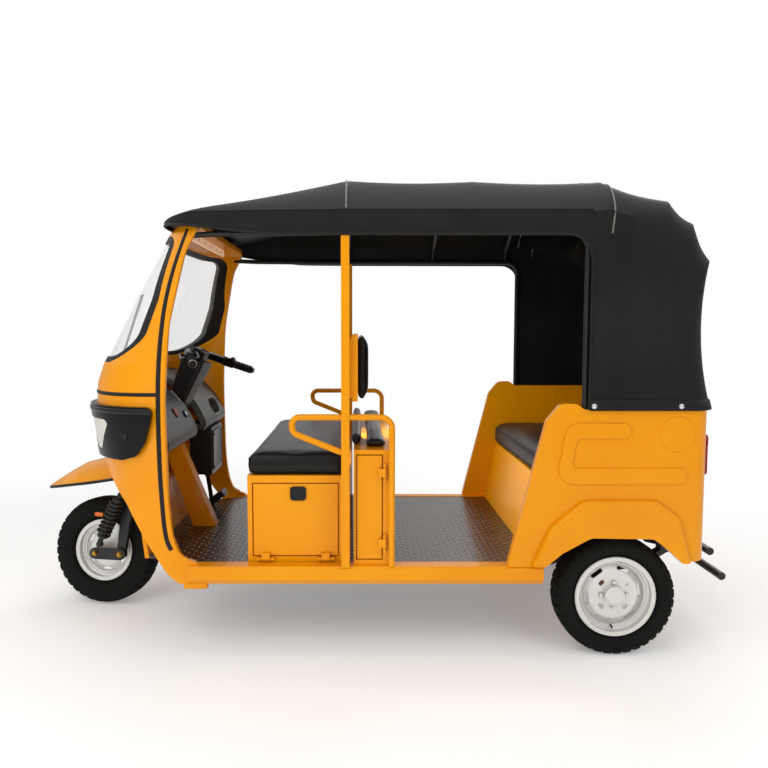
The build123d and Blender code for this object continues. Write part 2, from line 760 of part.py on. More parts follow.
with BuildPart() as locker_pad:
    add(box(-96, 0, -540, 540, LOCKER_TOP_Z, LOCKER_TOP_Z + 34))
    fillet(locker_pad.faces().sort_by(Axis.Z)[-1].edges(), 14)
save(locker_pad.part, "locker_pad")

# Pillars beside the locker, with the arm rails bent from tube.
with BuildPart() as mid_pillars:
    for side in (-1, 1):
        y = side * PILLAR_Y
        add(
            box(
                PILLAR_X - PILLAR_W / 2, PILLAR_X + PILLAR_W / 2, y - PILLAR_W / 2, y + PILLAR_W / 2,
                SILL_TOP_Z, PILLAR_TOP_Z
            )
        )
    add(sills.part, mode=Mode.SUBTRACT)
save(mid_pillars.part, "mid_pillars")

FRONT_LOOP = ((PILLAR_X + PILLAR_W / 2, 940.0), (278.0, 940.0), (270.0, 880.0), (PILLAR_X + PILLAR_W / 2, 806.0))
REAR_HOOP = ((PILLAR_X - PILLAR_W / 2, 940.0), (-106.0, 940.0), (-106.0, SILL_TOP_Z))
with BuildPart() as arm_rails:
    for side in (-1, 1):
        for points, radius in ((FRONT_LOOP, (30.0, 30.0)), (REAR_HOOP, (44.0,))):
            with BuildLine(side_plane(side * PILLAR_Y)) as tube_path:
                FilletPolyline(*points, radius=radius)
            with BuildSketch(Plane(origin=tube_path.line @ 0, z_dir=tube_path.line % 0)):
                Circle(RAIL_TUBE_R)
            sweep(path=tube_path.line)
    add(mid_pillars.part, mode=Mode.SUBTRACT)
save(arm_rails.part, "arm_rails")

# High backrest between the pillars: a board with a pad on its rear face.
with BuildPart() as backrest_board:
    add(box(24, 46, -PILLAR_Y + PILLAR_W / 2, PILLAR_Y - PILLAR_W / 2, 998, 1252))
    for side in (-1, 1):
        add(box(46, 86, *span(side, PILLAR_Y - 40, PILLAR_Y - PILLAR_W / 2), 1012, 1240))
save(backrest_board.part, "backrest_board")

with BuildPart() as backrest_pad:
    add(box(-14, 24, -560, 560, 992, 1258))
    fillet(backrest_pad.faces().sort_by(Axis.X)[0].edges(), 20)
save(backrest_pad.part, "backrest_pad")

# Rear tub: side panels wrapped round the corners and a back panel between them.
TUB_FRONT_X = -540.0
TUB_SIDE_OUTLINE = (
    (-548.0, SILL_TOP_Z),
    (-690.0, 928.0),
    (-742.0, 992.0),
    (-800.0, 992.0),
    (-832.0, TUB_TOP_Z),
    (-1400.0, TUB_TOP_Z),
    (-1400.0, TUB_LOW_Z),
    (-1210.0, TUB_LOW_Z),
    (-1154.0, 437.0),
    (-1100.0, 480.0),
    (-860.0, 484.0),
    (-752.0, 425.0),
    (-690.0, SILL_TOP_Z),
)
with BuildPart() as tub_form:
    with BuildSketch(level(300.0)):
        with BuildLine():
            FilletPolyline(
                (TUB_FRONT_X, -TUB_OUT_Y), (TUB_REAR_X, -TUB_OUT_Y), (TUB_REAR_X, TUB_OUT_Y), (TUB_FRONT_X, TUB_OUT_Y),
                radius=TUB_CORNER_R
            )
            Line((TUB_FRONT_X, TUB_OUT_Y), (TUB_FRONT_X, -TUB_OUT_Y))
        make_face()
    extrude(amount=720)
    with BuildSketch(level(300.0)):
        with BuildLine():
            FilletPolyline(
                (TUB_FRONT_X + 50, -TUB_OUT_Y + TUB_T), (TUB_REAR_X + TUB_T, -TUB_OUT_Y + TUB_T),
                (TUB_REAR_X + TUB_T, TUB_OUT_Y - TUB_T), (TUB_FRONT_X + 50, TUB_OUT_Y - TUB_T),
                radius=TUB_CORNER_R - TUB_T
            )
            Line((TUB_FRONT_X + 50, TUB_OUT_Y - TUB_T), (TUB_FRONT_X + 50, -TUB_OUT_Y + TUB_T))
        make_face()
    extrude(amount=720, mode=Mode.SUBTRACT)
    add(side_cut(TUB_SIDE_OUTLINE, (8, 30, 40, 20, 8, 1, 1, 10, 20, 60, 60, 40, 8)), mode=Mode.INTERSECT)

# Flares over the rear wheels, standing out from the side panels.
FLARE_OUTER = (
    (-640.0, 372.0),
    (-706.0, 520.0),
    (-830.0, 626.0),
    (-1110.0, 626.0),
    (-1200.0, 560.0),
    (-1246.0, TUB_LOW_Z),
)
FLARE_INNER = (
    (-1210.0, TUB_LOW_Z),
    (-1154.0, 437.0),
    (-1100.0, 480.0),
    (-860.0, 484.0),
    (-752.0, 425.0),
    (-690.0, 372.0),
)
FLARE_OUT = 28.0
FLARE_ROUND = 20.0
FLARE_CORNERS = (0, 90, 90, 60, 60, 0, 0, 20, 50, 50, 40, 0)
# Pressings that stiffen the side panel: a C-shaped rib and a shallow disc.
RIB_OUTLINE = (
    (-1011.0, 920.0),
    (-766.0, 920.0),
    (-727.0, 684.0),
    (-1225.0, 684.0),
    (-1225.0, 748.0),
    (-787.0, 748.0),
    (-806.0, 859.0),
    (-1011.0, 859.0),
)
RIB_ROUND = (30, 60, 60, 31, 31, 20, 20, 30)
RIB_H = 8.0
DISC_CENTRE = (-1185.0, 877.0)
DISC_R = 67.0
DISC_H = 3.0


def tub_side(side):
    """One side of the tub with its flare and its pressings."""
    with BuildPart() as rib:
        with BuildSketch(side_plane(side * (TUB_OUT_Y - 4))):
            with BuildLine():
                FilletPolyline(*RIB_OUTLINE, radius=RIB_ROUND, close=True)
            make_face()
        extrude(amount=-side * (RIB_H + 4))
        fillet(rib.faces().sort_by(Axis.Y)[-1 if side > 0 else 0].edges(), RIB_H * 0.7)
    pressing = rib.part
    with BuildPart() as round_rib:
        with BuildSketch(side_plane(side * (TUB_OUT_Y - 4))):
            with Locations(DISC_CENTRE):
                Circle(DISC_R)
        extrude(amount=-side * (DISC_H + 4))
        fillet(round_rib.faces().sort_by(Axis.Y)[-1 if side > 0 else 0].edges(), DISC_H * 0.8)
    disc = round_rib.part
    with BuildPart() as bulge:
        with BuildSketch(side_plane(side * (TUB_OUT_Y - 4))):
            with BuildLine():
                FilletPolyline(*FLARE_OUTER, *FLARE_INNER, radius=FLARE_CORNERS, close=True)
            make_face()
        extrude(amount=-side * (FLARE_OUT + 4))
        rims = bulge.faces().sort_by(Axis.Y)[-1 if side > 0 else 0].edges()
        brow = [edge for edge in rims if edge.center().Z > 500 or edge.center().X > -690 or edge.center().X < -1215]
        fillet([edge for edge in brow if edge.center().Z > 390], FLARE_ROUND)
    flare = bulge.part
    with BuildPart() as panel:
        add(tub_form.part)
        add(box(-1500, -500, min(0, side * TUB_SPLIT_Y), max(0, side * TUB_SPLIT_Y), 200, 1200), mode=Mode.SUBTRACT)
        add(box(-1500, -500, min(0, -side * 900), max(0, -side * 900), 200, 1200), mode=Mode.SUBTRACT)
        add(flare)
        add(pressing)
        add(disc)
    return panel.part


save(tub_side(1), "tub_side_left")
save(tub_side(-1), "tub_side_right")

PLATE_HOLES = 160.0
PLATE_HOLE_R = 3.5
PLATE_HOLE_Z = 638.0
plate_hole_plane = Plane(origin=(TUB_REAR_X - 10, 0, PLATE_HOLE_Z), x_dir=(0, 1, 0), z_dir=(1, 0, 0))
with BuildPart() as tub_back:
    add(tub_form.part)
    add(box(-1500, -500, -TUB_SPLIT_Y, TUB_SPLIT_Y, 200, 1200), mode=Mode.INTERSECT)
    with BuildSketch(plate_hole_plane):
        with Locations((-PLATE_HOLES / 2, 0), (PLATE_HOLES / 2, 0)):
            Circle(PLATE_HOLE_R)
    extrude(amount=60, mode=Mode.SUBTRACT)
save(tub_back.part, "tub_back")

# Bench base: sloping riser and the deck the cushion lies on.
BENCH_OUTLINE = (
    (-668.0, FLOOR_TOP - FLOOR_T),
    (-728.0, BENCH_DECK_Z),
    (TUB_REAR_X + TUB_T, BENCH_DECK_Z),
    (TUB_REAR_X + TUB_T, BENCH_DECK_Z - BENCH_T),
    (-744.0, BENCH_DECK_Z - BENCH_T),
    (-690.0, FLOOR_TOP - FLOOR_T),
)
with BuildPart() as bench_base:
    with BuildSketch(side_plane(TUB_OUT_Y - TUB_T)):
        with BuildLine():
            Polyline(*BENCH_OUTLINE, close=True)
        make_face()
    extrude(amount=2 * (TUB_OUT_Y - TUB_T))
    add(chassis_rails.part, mode=Mode.SUBTRACT)
    add(sills.part, mode=Mode.SUBTRACT)
    add(floor_pan.part, mode=Mode.SUBTRACT)
    add(tub_form.part, mode=Mode.SUBTRACT)
save(bench_base.part, "bench_base")

with BuildPart() as bench_cushion:
    add(box(-1150, -696, -570, 570, BENCH_DECK_Z, BENCH_DECK_Z + 118))
    fillet(bench_cushion.edges().filter_by(Axis.Z), 30)
    fillet(bench_cushion.faces().sort_by(Axis.Z)[-1].edges(), 28)
save(bench_cushion.part, "bench_cushion")

BACKREST_OUTLINE = ((-1150.0, BENCH_DECK_Z), (-1256.0, BENCH_DECK_Z), (-1262.0, 1240.0), (-1196.0, 1240.0))
with BuildPart() as bench_backrest:
    with BuildSketch(side_plane(560)):
        with BuildLine():
            Polyline(*BACKREST_OUTLINE, close=True)
        make_face()
    extrude(amount=1120)
    fillet(bench_backrest.faces().sort_by(Axis.Z)[-1].edges(), 24)
save(bench_backrest.part, "bench_backrest")

# Soft top: side outline of the fabric, its arched section and its plan.
TOP_LINE = (
    (812.0, 1702.0),
    (690.0, 1718.0),
    (67.0, TOP_CROWN_Z),
    (-913.0, 1846.0),
    (-1156.0, 1764.0),
    (-1244.0, 1676.0),
    (-1308.0, 1540.0),
    (-1289.0, 1265.0),
    (-1337.0, 968.0),
)
TOP_PLAN = ((-1340.0, TOP_HALF), (71.0, TOP_HALF), (520.0, 596.0), (812.0, 578.0))
TOP_PLAN_R = (TOP_REAR_R, 500.0, 500.0, 285.0)


def top_form(inset):
    """Solid under the fabric: the side outline, the arch and the plan, where all three meet."""
    with BuildPart() as profile:
        with BuildSketch(side_plane(TOP_HALF + 80)):
            with BuildLine():
                line = [(x + (inset if z < 1600 else 0), z - (inset if z >= 1600 else 0)) for x, z in TOP_LINE]
                Polyline(*line, (line[-1][0], 900.0), (line[0][0], 900.0), close=True)
            make_face()
        extrude(amount=2 * TOP_HALF + 160)
    y_out = TOP_HALF - inset
    y_in = TOP_CROWN_HALF - inset
    arch_z = TOP_CROWN_Z - inset + 1.5
    with BuildPart() as arch:
        with BuildSketch(front_plane(-1500)):
            with BuildLine():
                FilletPolyline(
                    (y_out, 800), (y_out, TOP_SEAM_Z - inset), (y_in, arch_z),
                    (-y_in, arch_z), (-y_out, TOP_SEAM_Z - inset), (-y_out, 800),
                    radius=(1, 24, 260, 260, 24, 1), close=True
                )
            make_face()
        extrude(amount=2400)
    plan_left = [(x - inset if x > 800 else x, y - inset) for x, y in reversed(TOP_PLAN)]
    plan_right = [(x, -y) for x, y in reversed(plan_left)]
    with BuildPart() as plan:
        with BuildSketch(level(800)):
            with BuildLine():
                FilletPolyline(
                    *plan_left, *plan_right, radius=(*reversed(TOP_PLAN_R), *TOP_PLAN_R), close=True
                )
            make_face()
        extrude(amount=1100)
    return profile.part & arch.part & plan.part


SIDE_OPENING = ((900.0, 800.0), (TOP_SPLIT_X, 800.0), (TOP_SPLIT_X, VALANCE_Z), (900.0, VALANCE_Z))
with BuildPart() as soft_top:
    add(top_form(0.0))
    add(top_form(TOP_T), mode=Mode.SUBTRACT)
    add(side_cut(SIDE_OPENING, (1, 1, 90, 1)), mode=Mode.SUBTRACT)
    add(box(-1500, 900, -900, 900, 700, TUB_TOP_Z - 2), mode=Mode.SUBTRACT)

with BuildPart() as canopy_roof:
    add(soft_top.part)
    split(bisect_by=Plane(origin=(TOP_SPLIT_X, 0, 0), z_dir=(1, 0, 0)), keep=Keep.TOP)
    add(shell_form(0.5), mode=Mode.SUBTRACT)
    add(mid_pillars.part, mode=Mode.SUBTRACT)
    add(box(HEADER_STRIP[0], HEADER_STRIP[1], -HEADER_STRIP[2], HEADER_STRIP[2], SHELL_TOP_Z, 1704.0))
save(canopy_roof.part, "canopy_roof")

with BuildPart() as canopy_rear:
    add(soft_top.part)
    split(bisect_by=Plane(origin=(TOP_SPLIT_X, 0, 0), z_dir=(1, 0, 0)), keep=Keep.BOTTOM)
    add(tub_form.part, mode=Mode.SUBTRACT)
    add(bench_backrest.part, mode=Mode.SUBTRACT)
save(canopy_rear.part, "canopy_rear")

# Soft-top frame: side rails from the shell to the rear posts, and bows across.
FRAME_Y = 604.0
FRAME_RAIL_Z = 1633.0
FRAME_R = 11.0
BOW_KNEE_Z = 1686.0
REAR_POST_X = -836.0
FRAME_BOWS = ((PILLAR_X, 1826.0), (-380.0, 1822.0), (-770.0, 1818.0))
with BuildPart() as canopy_frame:
    for side in (-1, 1):
        with BuildLine() as rail_path:
            FilletPolyline(
                (680.0, side * 502.8, FRAME_RAIL_Z),
                (560.0, side * 560, FRAME_RAIL_Z),
                (100.0, side * FRAME_Y, FRAME_RAIL_Z),
                (REAR_POST_X, side * FRAME_Y, FRAME_RAIL_Z),
                (REAR_POST_X, side * FRAME_Y, TUB_TOP_Z),
                radius=60,
            )
        with BuildSketch(Plane(origin=rail_path.line @ 0, z_dir=rail_path.line % 0)):
            Circle(FRAME_R)
        sweep(path=rail_path.line)
    for x, top in FRAME_BOWS:
        with BuildLine(front_plane(x)) as bow_path:
            FilletPolyline(
                (-FRAME_Y, FRAME_RAIL_Z + FRAME_R),
                (-FRAME_Y, BOW_KNEE_Z),
                (-360, top),
                (360, top),
                (FRAME_Y, BOW_KNEE_Z),
                (FRAME_Y, FRAME_RAIL_Z + FRAME_R),
                radius=50,
            )
        with BuildSketch(Plane(origin=bow_path.line @ 0, z_dir=bow_path.line % 0)):
            Circle(FRAME_R)
        sweep(path=bow_path.line)
    add(front_shell_upper.part, mode=Mode.SUBTRACT)
    add(mid_pillars.part, mode=Mode.SUBTRACT)
    add(tub_form.part, mode=Mode.SUBTRACT)
save(canopy_frame.part, "canopy_frame")

# Rear bumper: a low and a high bar on two arms from the rails.
BUMPER_R = 16.0
LOW_BAR_Z = 286.0
HIGH_BAR_Z = 356.0
TOW_EYE_X = -1428.0
TOW_EYE_Z = 250.0
TOW_EYE_R = 11.0
TOW_EYE_OUT_R = 21.0
TOW_EYE_T = 16.0
BUMPER_ARM = (
    (-1200.0, REAR_RAIL_LOW_Z),
    (-1286.0, REAR_RAIL_LOW_Z),
    (-1286.0, TUB_LOW_Z - 2),
    (TAIL_X + BUMPER_R + 4, TUB_LOW_Z - 10),
    (TAIL_X + BUMPER_R - 8, LOW_BAR_Z),
    (TAIL_X + BUMPER_R + 8, LOW_BAR_Z),
    (TAIL_X + BUMPER_R + 22, HIGH_BAR_Z - 8),
    (-1286.0, 352.0),
    (-1200.0, 370.0),
)
with BuildPart() as rear_bumper:
    for half, z in ((500.0, LOW_BAR_Z), (400.0, HIGH_BAR_Z)):
        with BuildSketch(side_plane(half)):
            with Locations((TAIL_X + BUMPER_R, z)):
                Circle(BUMPER_R)
        extrude(amount=2 * half)
    for side in (-1, 1):
        with BuildSketch(side_plane(side * RAIL_Y + 14)):
            with BuildLine():
                Polyline(*BUMPER_ARM, close=True)
            make_face()
        extrude(amount=28)
    with BuildSketch(side_plane(TOW_EYE_T / 2)):
        with Locations((TOW_EYE_X, (LOW_BAR_Z + TOW_EYE_Z) / 2)):
            SlotCenterToCenter(LOW_BAR_Z - TOW_EYE_Z, 2 * TOW_EYE_OUT_R, rotation=90)
    extrude(amount=TOW_EYE_T)
    with BuildSketch(side_plane(TOW_EYE_T)):
        with Locations((TOW_EYE_X, TOW_EYE_Z)):
            Circle(TOW_EYE_R)
    extrude(amount=2 * TOW_EYE_T, mode=Mode.SUBTRACT)
    add(tub_form.part, mode=Mode.SUBTRACT)
save(rear_bumper.part, "rear_bumper")

# Tail lamps and the blank number plate on the back panel.
with BuildPart() as tail_lamps:
    for side in (-1, 1):
        add(box(TUB_REAR_X - 32, TUB_REAR_X, *span(side, 400, 520), 700, 860))
    fillet(tail_lamps.edges().filter_by(Axis.X), 14)
save(tail_lamps.part, "tail_lamps")

with BuildPart() as number_plate:
    add(box(TUB_REAR_X - 4, TUB_REAR_X, -150, 150, 560, 660))
    with BuildSketch(plate_hole_plane):
        with Locations((-PLATE_HOLES / 2, 0), (PLATE_HOLES / 2, 0)):
            Circle(PLATE_HOLE_R)
    extrude(amount=12, mode=Mode.SUBTRACT)
save(number_plate.part, "number_plate")

# Rear axle with spindles, springs above it and the drive motor.
AXLE_Z = REAR_TYRE_R
AXLE_TUBE_R = 30.0
AXLE_TUBE_HALF = 452.0
SPINDLE_HALF = 556.0
with BuildPart() as rear_axle:
    with BuildSketch(side_plane(AXLE_TUBE_HALF)):
        with Locations((REAR_AXLE_X, AXLE_Z)):
            Circle(AXLE_TUBE_R)
    extrude(amount=2 * AXLE_TUBE_HALF)
    with BuildSketch(side_plane(SPINDLE_HALF)):
        with Locations((REAR_AXLE_X, AXLE_Z)):
            Circle(SPINDLE_R)
    extrude(amount=2 * SPINDLE_HALF)
    with BuildSketch(side_plane(90)):
        with Locations((REAR_AXLE_X, AXLE_Z)):
            Circle(92)
    extrude(amount=150)
save(rear_axle.part, "rear_axle")

with BuildPart() as drive_motor:
    with BuildSketch(side_plane(-60)):
        with Locations((REAR_AXLE_X, AXLE_Z)):
            Circle(86)
            Circle(AXLE_TUBE_R + 0.2, mode=Mode.SUBTRACT)
    extrude(amount=190)
save(drive_motor.part, "drive_motor")

LEAF_T = 26.0
LEAF_W = 44.0
with BuildPart() as leaf_springs:
    for side in (-1, 1):
        with BuildSketch(side_plane(side * LEAF_Y + LEAF_W / 2)):
            with BuildLine():
                low_z = AXLE_Z + AXLE_TUBE_R + 0.5
                ThreePointArc((LEAF_FRONT_X, LEAF_EYE_Z), (REAR_AXLE_X, low_z + LEAF_T), (LEAF_REAR_X, LEAF_EYE_Z))
                Line((LEAF_REAR_X, LEAF_EYE_Z), (LEAF_REAR_X, LEAF_EYE_Z - LEAF_T))
                ThreePointArc((LEAF_REAR_X, LEAF_EYE_Z - LEAF_T), (REAR_AXLE_X, low_z), (LEAF_FRONT_X, LEAF_EYE_Z - LEAF_T))
                Line((LEAF_FRONT_X, LEAF_EYE_Z - LEAF_T), (LEAF_FRONT_X, LEAF_EYE_Z))
            make_face()
        extrude(amount=LEAF_W)
        for x in (LEAF_FRONT_X - 30, LEAF_REAR_X):
            add(box(x, x + 30, *span(side, RAIL_Y + RAIL_W / 2, LEAF_Y + LEAF_W / 2), LEAF_EYE_Z - LEAF_T, 440))
        add(
            box(
                REAR_AXLE_X - 40, REAR_AXLE_X + 40, side * LEAF_Y - LEAF_W / 2 - 8, side * LEAF_Y + LEAF_W / 2 + 8,
                AXLE_Z, AXLE_Z + AXLE_TUBE_R + 12
            )
        )
    add(rear_axle.part, mode=Mode.SUBTRACT)
    add(chassis_rails.part, mode=Mode.SUBTRACT)
save(leaf_springs.part, "leaf_springs")


# Wheels: rims turned about the axle with slots through the disc, and tyres over them.
def wheel_plane(x, y, z):
    """Plane through a wheel's axle, drawn with x outward to the left and y up."""
    return Plane(origin=(x, y, z), x_dir=(0, 1, 0), z_dir=(1, 0, 0))


def rim(x, y, z, side, rim_r, width, bore_r, hub_r, hub_in, hub_out, dish, slots):
    """Rim: barrel, dished disc and hub; slots from columns count, radius, length, width, first angle."""
    half = width / 2 - 14
    bed = rim_r - 12
    well = rim_r - 30
    axis = Axis((x, y, z), (0, 1, 0))
    with BuildPart() as wheel:
        with BuildSketch(wheel_plane(x, y, z)):
            with BuildLine():
                Polyline(
                    (-half, rim_r), (-half + 5, rim_r), (-half + 8, bed), (-half + 30, bed), (-half + 36, well),
                    (half - 36, well), (half - 30, bed), (half - 8, bed), (half - 5, rim_r), (half, rim_r),
                    (half, bed - 5), (half - 26, bed - 5), (half - 32, well - 5), (-half + 32, well - 5),
                    (-half + 26, bed - 5), (-half, bed - 5), close=True
                )
            make_face()
        revolve(axis=axis)
        with BuildSketch(wheel_plane(x, y, z)):
            with BuildLine():
                Polyline(
                    (side * 2, well - 3), (side * (2 + dish), well - 34), (side * (2 + dish), hub_r - 2),
                    (side * (dish - 4), hub_r - 2), (side * (dish - 4), well - 36), (side * -4, well - 3), close=True
                )
            make_face()
        revolve(axis=axis)
        with BuildSketch(Plane(origin=(x, y - hub_in if side > 0 else y - hub_out, z), x_dir=(1, 0, 0), z_dir=(0, 1, 0))):
            Circle(hub_r)
        extrude(amount=hub_in + hub_out)
        for count, radius, length, slot_w, first in slots:
            with BuildSketch(Plane(origin=(x, y - 80, z), x_dir=(1, 0, 0), z_dir=(0, 1, 0))):
                with PolarLocations(radius, count, start_angle=first):
                    SlotOverall(length, slot_w, rotation=90)
            extrude(amount=160, mode=Mode.SUBTRACT)
        with BuildSketch(Plane(origin=(x, y - 200, z), x_dir=(1, 0, 0), z_dir=(0, 1, 0))):
            Circle(bore_r + RUNNING_GAP)
        extrude(amount=400, mode=Mode.SUBTRACT)
    return wheel.part


def tyre(x, y, z, tyre_r, width, rim_r):
    """Tyre: rounded cross-section, hollow, open towards the rim."""
    half = width / 2
    bead = width / 2 - 22.5
    bed = rim_r - 12 + 0.3
    with BuildPart() as ring:
        with BuildSketch(wheel_plane(x, y, z)):
            with BuildLine():
                FilletPolyline(
                    (-bead, bed), (-bead, rim_r + 8), (-half, rim_r + 34), (-half + 6, tyre_r - 14), (-half + 26, tyre_r),
                    (half - 26, tyre_r), (half - 6, tyre_r - 14), (half, rim_r + 34), (bead, rim_r + 8), (bead, bed),
                    (bead - 14, bed), (bead - 10, rim_r + 12), (half - 16, rim_r + 34), (half - 22, tyre_r - 20),
                    (-half + 22, tyre_r - 20), (-half + 16, rim_r + 34), (-bead + 10, rim_r + 12), (-bead + 14, bed),
                    radius=(0, 4, 18, 12, 12, 12, 12, 18, 4, 0, 0, 2, 8, 8, 8, 8, 2, 0), close=True
                )
            make_face()
        revolve(axis=Axis((x, y, z), (0, 1, 0)))
    return ring.part


REAR_SLOTS = ((6, 104.0, 52.0, 14.0, 8.0), (4, 66.0, 26.0, 17.0, 45.0))
FRONT_SLOTS = ((6, 92.0, 40.0, 12.0, 30.0),)

for side, name in ((1, "left"), (-1, "right")):
    y_wheel = side * REAR_WHEEL_Y
    rear_rim = rim(
        REAR_AXLE_X, y_wheel, REAR_TYRE_R, side, REAR_RIM_R, REAR_TYRE_W, SPINDLE_R, 40.0, 70.0, 36.0, 20.0, REAR_SLOTS
    )
    save(rear_rim, "rear_rim_" + name)
    save(tyre(REAR_AXLE_X, y_wheel, REAR_TYRE_R, REAR_TYRE_R, REAR_TYRE_W, REAR_RIM_R), "rear_tyre_" + name)

front_rim = rim(
    FRONT_AXLE_X, 0.0, FRONT_AXLE_Z, 1, FRONT_RIM_R, FRONT_TYRE_W, AXLE_R, 38.0, 74.0, 74.0, 12.0, FRONT_SLOTS
)
save(steered(front_rim), "front_rim")
save(steered(tyre(FRONT_AXLE_X, 0.0, FRONT_AXLE_Z, FRONT_TYRE_R, FRONT_TYRE_W, FRONT_RIM_R)), "front_tyre")
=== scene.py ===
# %% [markdown]
# # An electric auto rickshaw, dressed
#
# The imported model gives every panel, tube, wheel and hinge its place. This lesson
# dresses it: tyres get tread, seats get padding, the soft top gets its seams and
# sag, and each surface gets a finish that behaves as the real one does in light.
# Lengths are metres, +X is forward, +Y is the vehicle's left and +Z is up.

# %% Load the frame
import math

import bpy
from mathutils import Matrix, Vector


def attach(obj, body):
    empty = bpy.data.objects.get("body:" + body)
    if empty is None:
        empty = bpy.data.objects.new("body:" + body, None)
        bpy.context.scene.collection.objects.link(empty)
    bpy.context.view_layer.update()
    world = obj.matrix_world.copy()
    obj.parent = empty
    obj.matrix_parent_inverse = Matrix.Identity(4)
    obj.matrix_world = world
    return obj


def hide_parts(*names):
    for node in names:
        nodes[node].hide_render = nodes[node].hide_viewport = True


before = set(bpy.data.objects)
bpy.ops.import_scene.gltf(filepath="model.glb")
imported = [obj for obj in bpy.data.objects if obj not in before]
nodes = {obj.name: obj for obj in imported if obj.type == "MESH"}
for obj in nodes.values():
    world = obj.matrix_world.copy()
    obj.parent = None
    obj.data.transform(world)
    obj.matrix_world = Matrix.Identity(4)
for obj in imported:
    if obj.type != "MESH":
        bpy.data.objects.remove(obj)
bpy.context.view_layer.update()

# %% [markdown]
# ## The studio
#
# The vehicle stands on a pale seamless floor under large soft lamps. The camera
# stands off the left side a little below the roof and looks slightly down. The
# place and lens come from the perspective of the near and far edges of the body.

# %% Colour and node helpers
def linear(hex_code):
    """Turn an sRGB hex code into the linear colour that shaders use."""
    parts = [int(hex_code[i:i + 2], 16) / 255 for i in (1, 3, 5)]
    return tuple(c / 12.92 if c <= 0.04045 else ((c + 0.055) / 1.055) ** 2.4 for c in parts) + (1.0,)


def add_node(tree, kind, settings=(), links=(), to=None):
    """Add one shader node, set its fields and sockets, link its inputs and lead its first output on."""
    node = tree.nodes.new("ShaderNode" + kind)
    for name, value in dict(settings).items():
        if name == "stops":
            for stop, (position, colour) in zip(node.color_ramp.elements, value):
                stop.position, stop.color = position, colour
        elif isinstance(name, str) and hasattr(node, name):
            setattr(node, name, value)
        else:
            node.inputs[name].default_value = value
    for name, source in dict(links).items():
        tree.links.new(source, node.inputs[name])
    if to is not None:
        tree.links.new(node.outputs[0], to)
    return node


def new_finish(name, settings):
    """Start a material: a principled shader with constant sockets and object coordinates."""
    material = bpy.data.materials.new(name)
    material.use_nodes = True
    tree = material.node_tree
    shader = tree.nodes["Principled BSDF"]
    for socket, value in settings.items():
        shader.inputs[socket].default_value = value
    place = add_node(tree, "TexCoord").outputs["Object"]
    return material, tree, shader, place


def deselect():
    """Leave edit mode and clear the selection, so an operator acts on what comes next."""
    if bpy.context.object and bpy.context.object.mode != "OBJECT":
        bpy.ops.object.mode_set(mode="OBJECT")
    bpy.ops.object.select_all(action="DESELECT")


print("helpers for colours and nodes ready")

# %% Floor and backdrop
# Far from the vehicle the paper sweeps up into the bright backdrop; near it, the paper
# keeps the soft shadow. Reflections see a dimmer sweep.
WHITE = linear("#FFFFFF")
SWEEP_START, SWEEP_END, SWEEP_REFLECTED = 1.9, 4.2, 0.16


def straight_rays(tree):
    """Outputs of a light path node, and 1 for rays that run straight or through glass."""
    rays = add_node(tree, "LightPath").outputs
    either = {0: rays["Is Camera Ray"], 1: rays["Is Transmission Ray"]}
    return rays, add_node(tree, "Math", {"operation": "MAXIMUM"}, either).outputs[0]


deselect()
bpy.ops.mesh.primitive_plane_add(size=24, location=(0, 0, 0))
floor = bpy.context.object
floor.name = "studio_floor"
floor_paper, tree, shader, place = new_finish(
    "seamless_paper", {
        "Base Color": linear("#F3F2F0"), "Roughness": 0.9, "Specular IOR Level": 0.15,
        "Emission Color": WHITE, "Emission Strength": 0.19,
    }
)
rays, straight = straight_rays(tree)
dimmed = add_node(tree, "Math", {"operation": "MULTIPLY", 1: SWEEP_REFLECTED}, {0: rays["Is Glossy Ray"]})
watched = add_node(tree, "Math", {"operation": "MAXIMUM"}, {0: straight, 1: dimmed.outputs[0]})
distance = add_node(tree, "VectorMath", {"operation": "LENGTH"}, {0: place})
sweep = add_node(
    tree, "MapRange",
    {"interpolation_type": "SMOOTHSTEP", "From Min": SWEEP_START, "From Max": SWEEP_END},
    {"Value": distance.outputs["Value"]}
)
share = add_node(tree, "Math", {"operation": "MULTIPLY"}, {0: sweep.outputs["Result"], 1: watched.outputs[0]})
glow = add_node(tree, "Emission", {"Color": WHITE, "Strength": 1.0})
add_node(
    tree, "MixShader", (), {0: share.outputs[0], 1: shader.outputs["BSDF"], 2: glow.outputs["Emission"]},
    tree.nodes["Material Output"].inputs["Surface"]
)
floor.data.materials.append(floor_paper)
print("floor", floor.name)

# %% World
# Reflections see a bright studio ceiling that falls off to a dimmer horizon, so that
# upright panels keep their full colour while their rounded edges still catch white.
AMBIENT = 0.44
CEILING = {"From Min": 0.08, "From Max": 0.38, "To Min": 0.16, "To Max": 1.2}
scene = bpy.context.scene
scene.view_settings.view_transform = "Standard"
world = bpy.data.worlds.new("studio_world")
scene.world = world
world.use_nodes = True
sky = world.node_tree
backdrop = sky.nodes["Background"].inputs
backdrop["Color"].default_value = WHITE
rays, straight = straight_rays(sky)
heading = add_node(sky, "TexCoord").outputs["Generated"]
height = add_node(sky, "SeparateXYZ", (), {"Vector": heading})
ceiling = add_node(
    sky, "MapRange", {"interpolation_type": "SMOOTHSTEP", **CEILING}, {"Value": height.outputs["Z"]}
)
reflected = add_node(
    sky, "Math", {"operation": "MULTIPLY"}, {0: ceiling.outputs["Result"], 1: rays["Is Glossy Ray"]}
)
seen = add_node(sky, "Math", {"operation": "MAXIMUM"}, {0: straight, 1: reflected.outputs[0]})
add_node(sky, "Math", {"operation": "MAXIMUM", 1: AMBIENT}, {0: seen.outputs[0]}, backdrop["Strength"])
print("ambient light", AMBIENT)

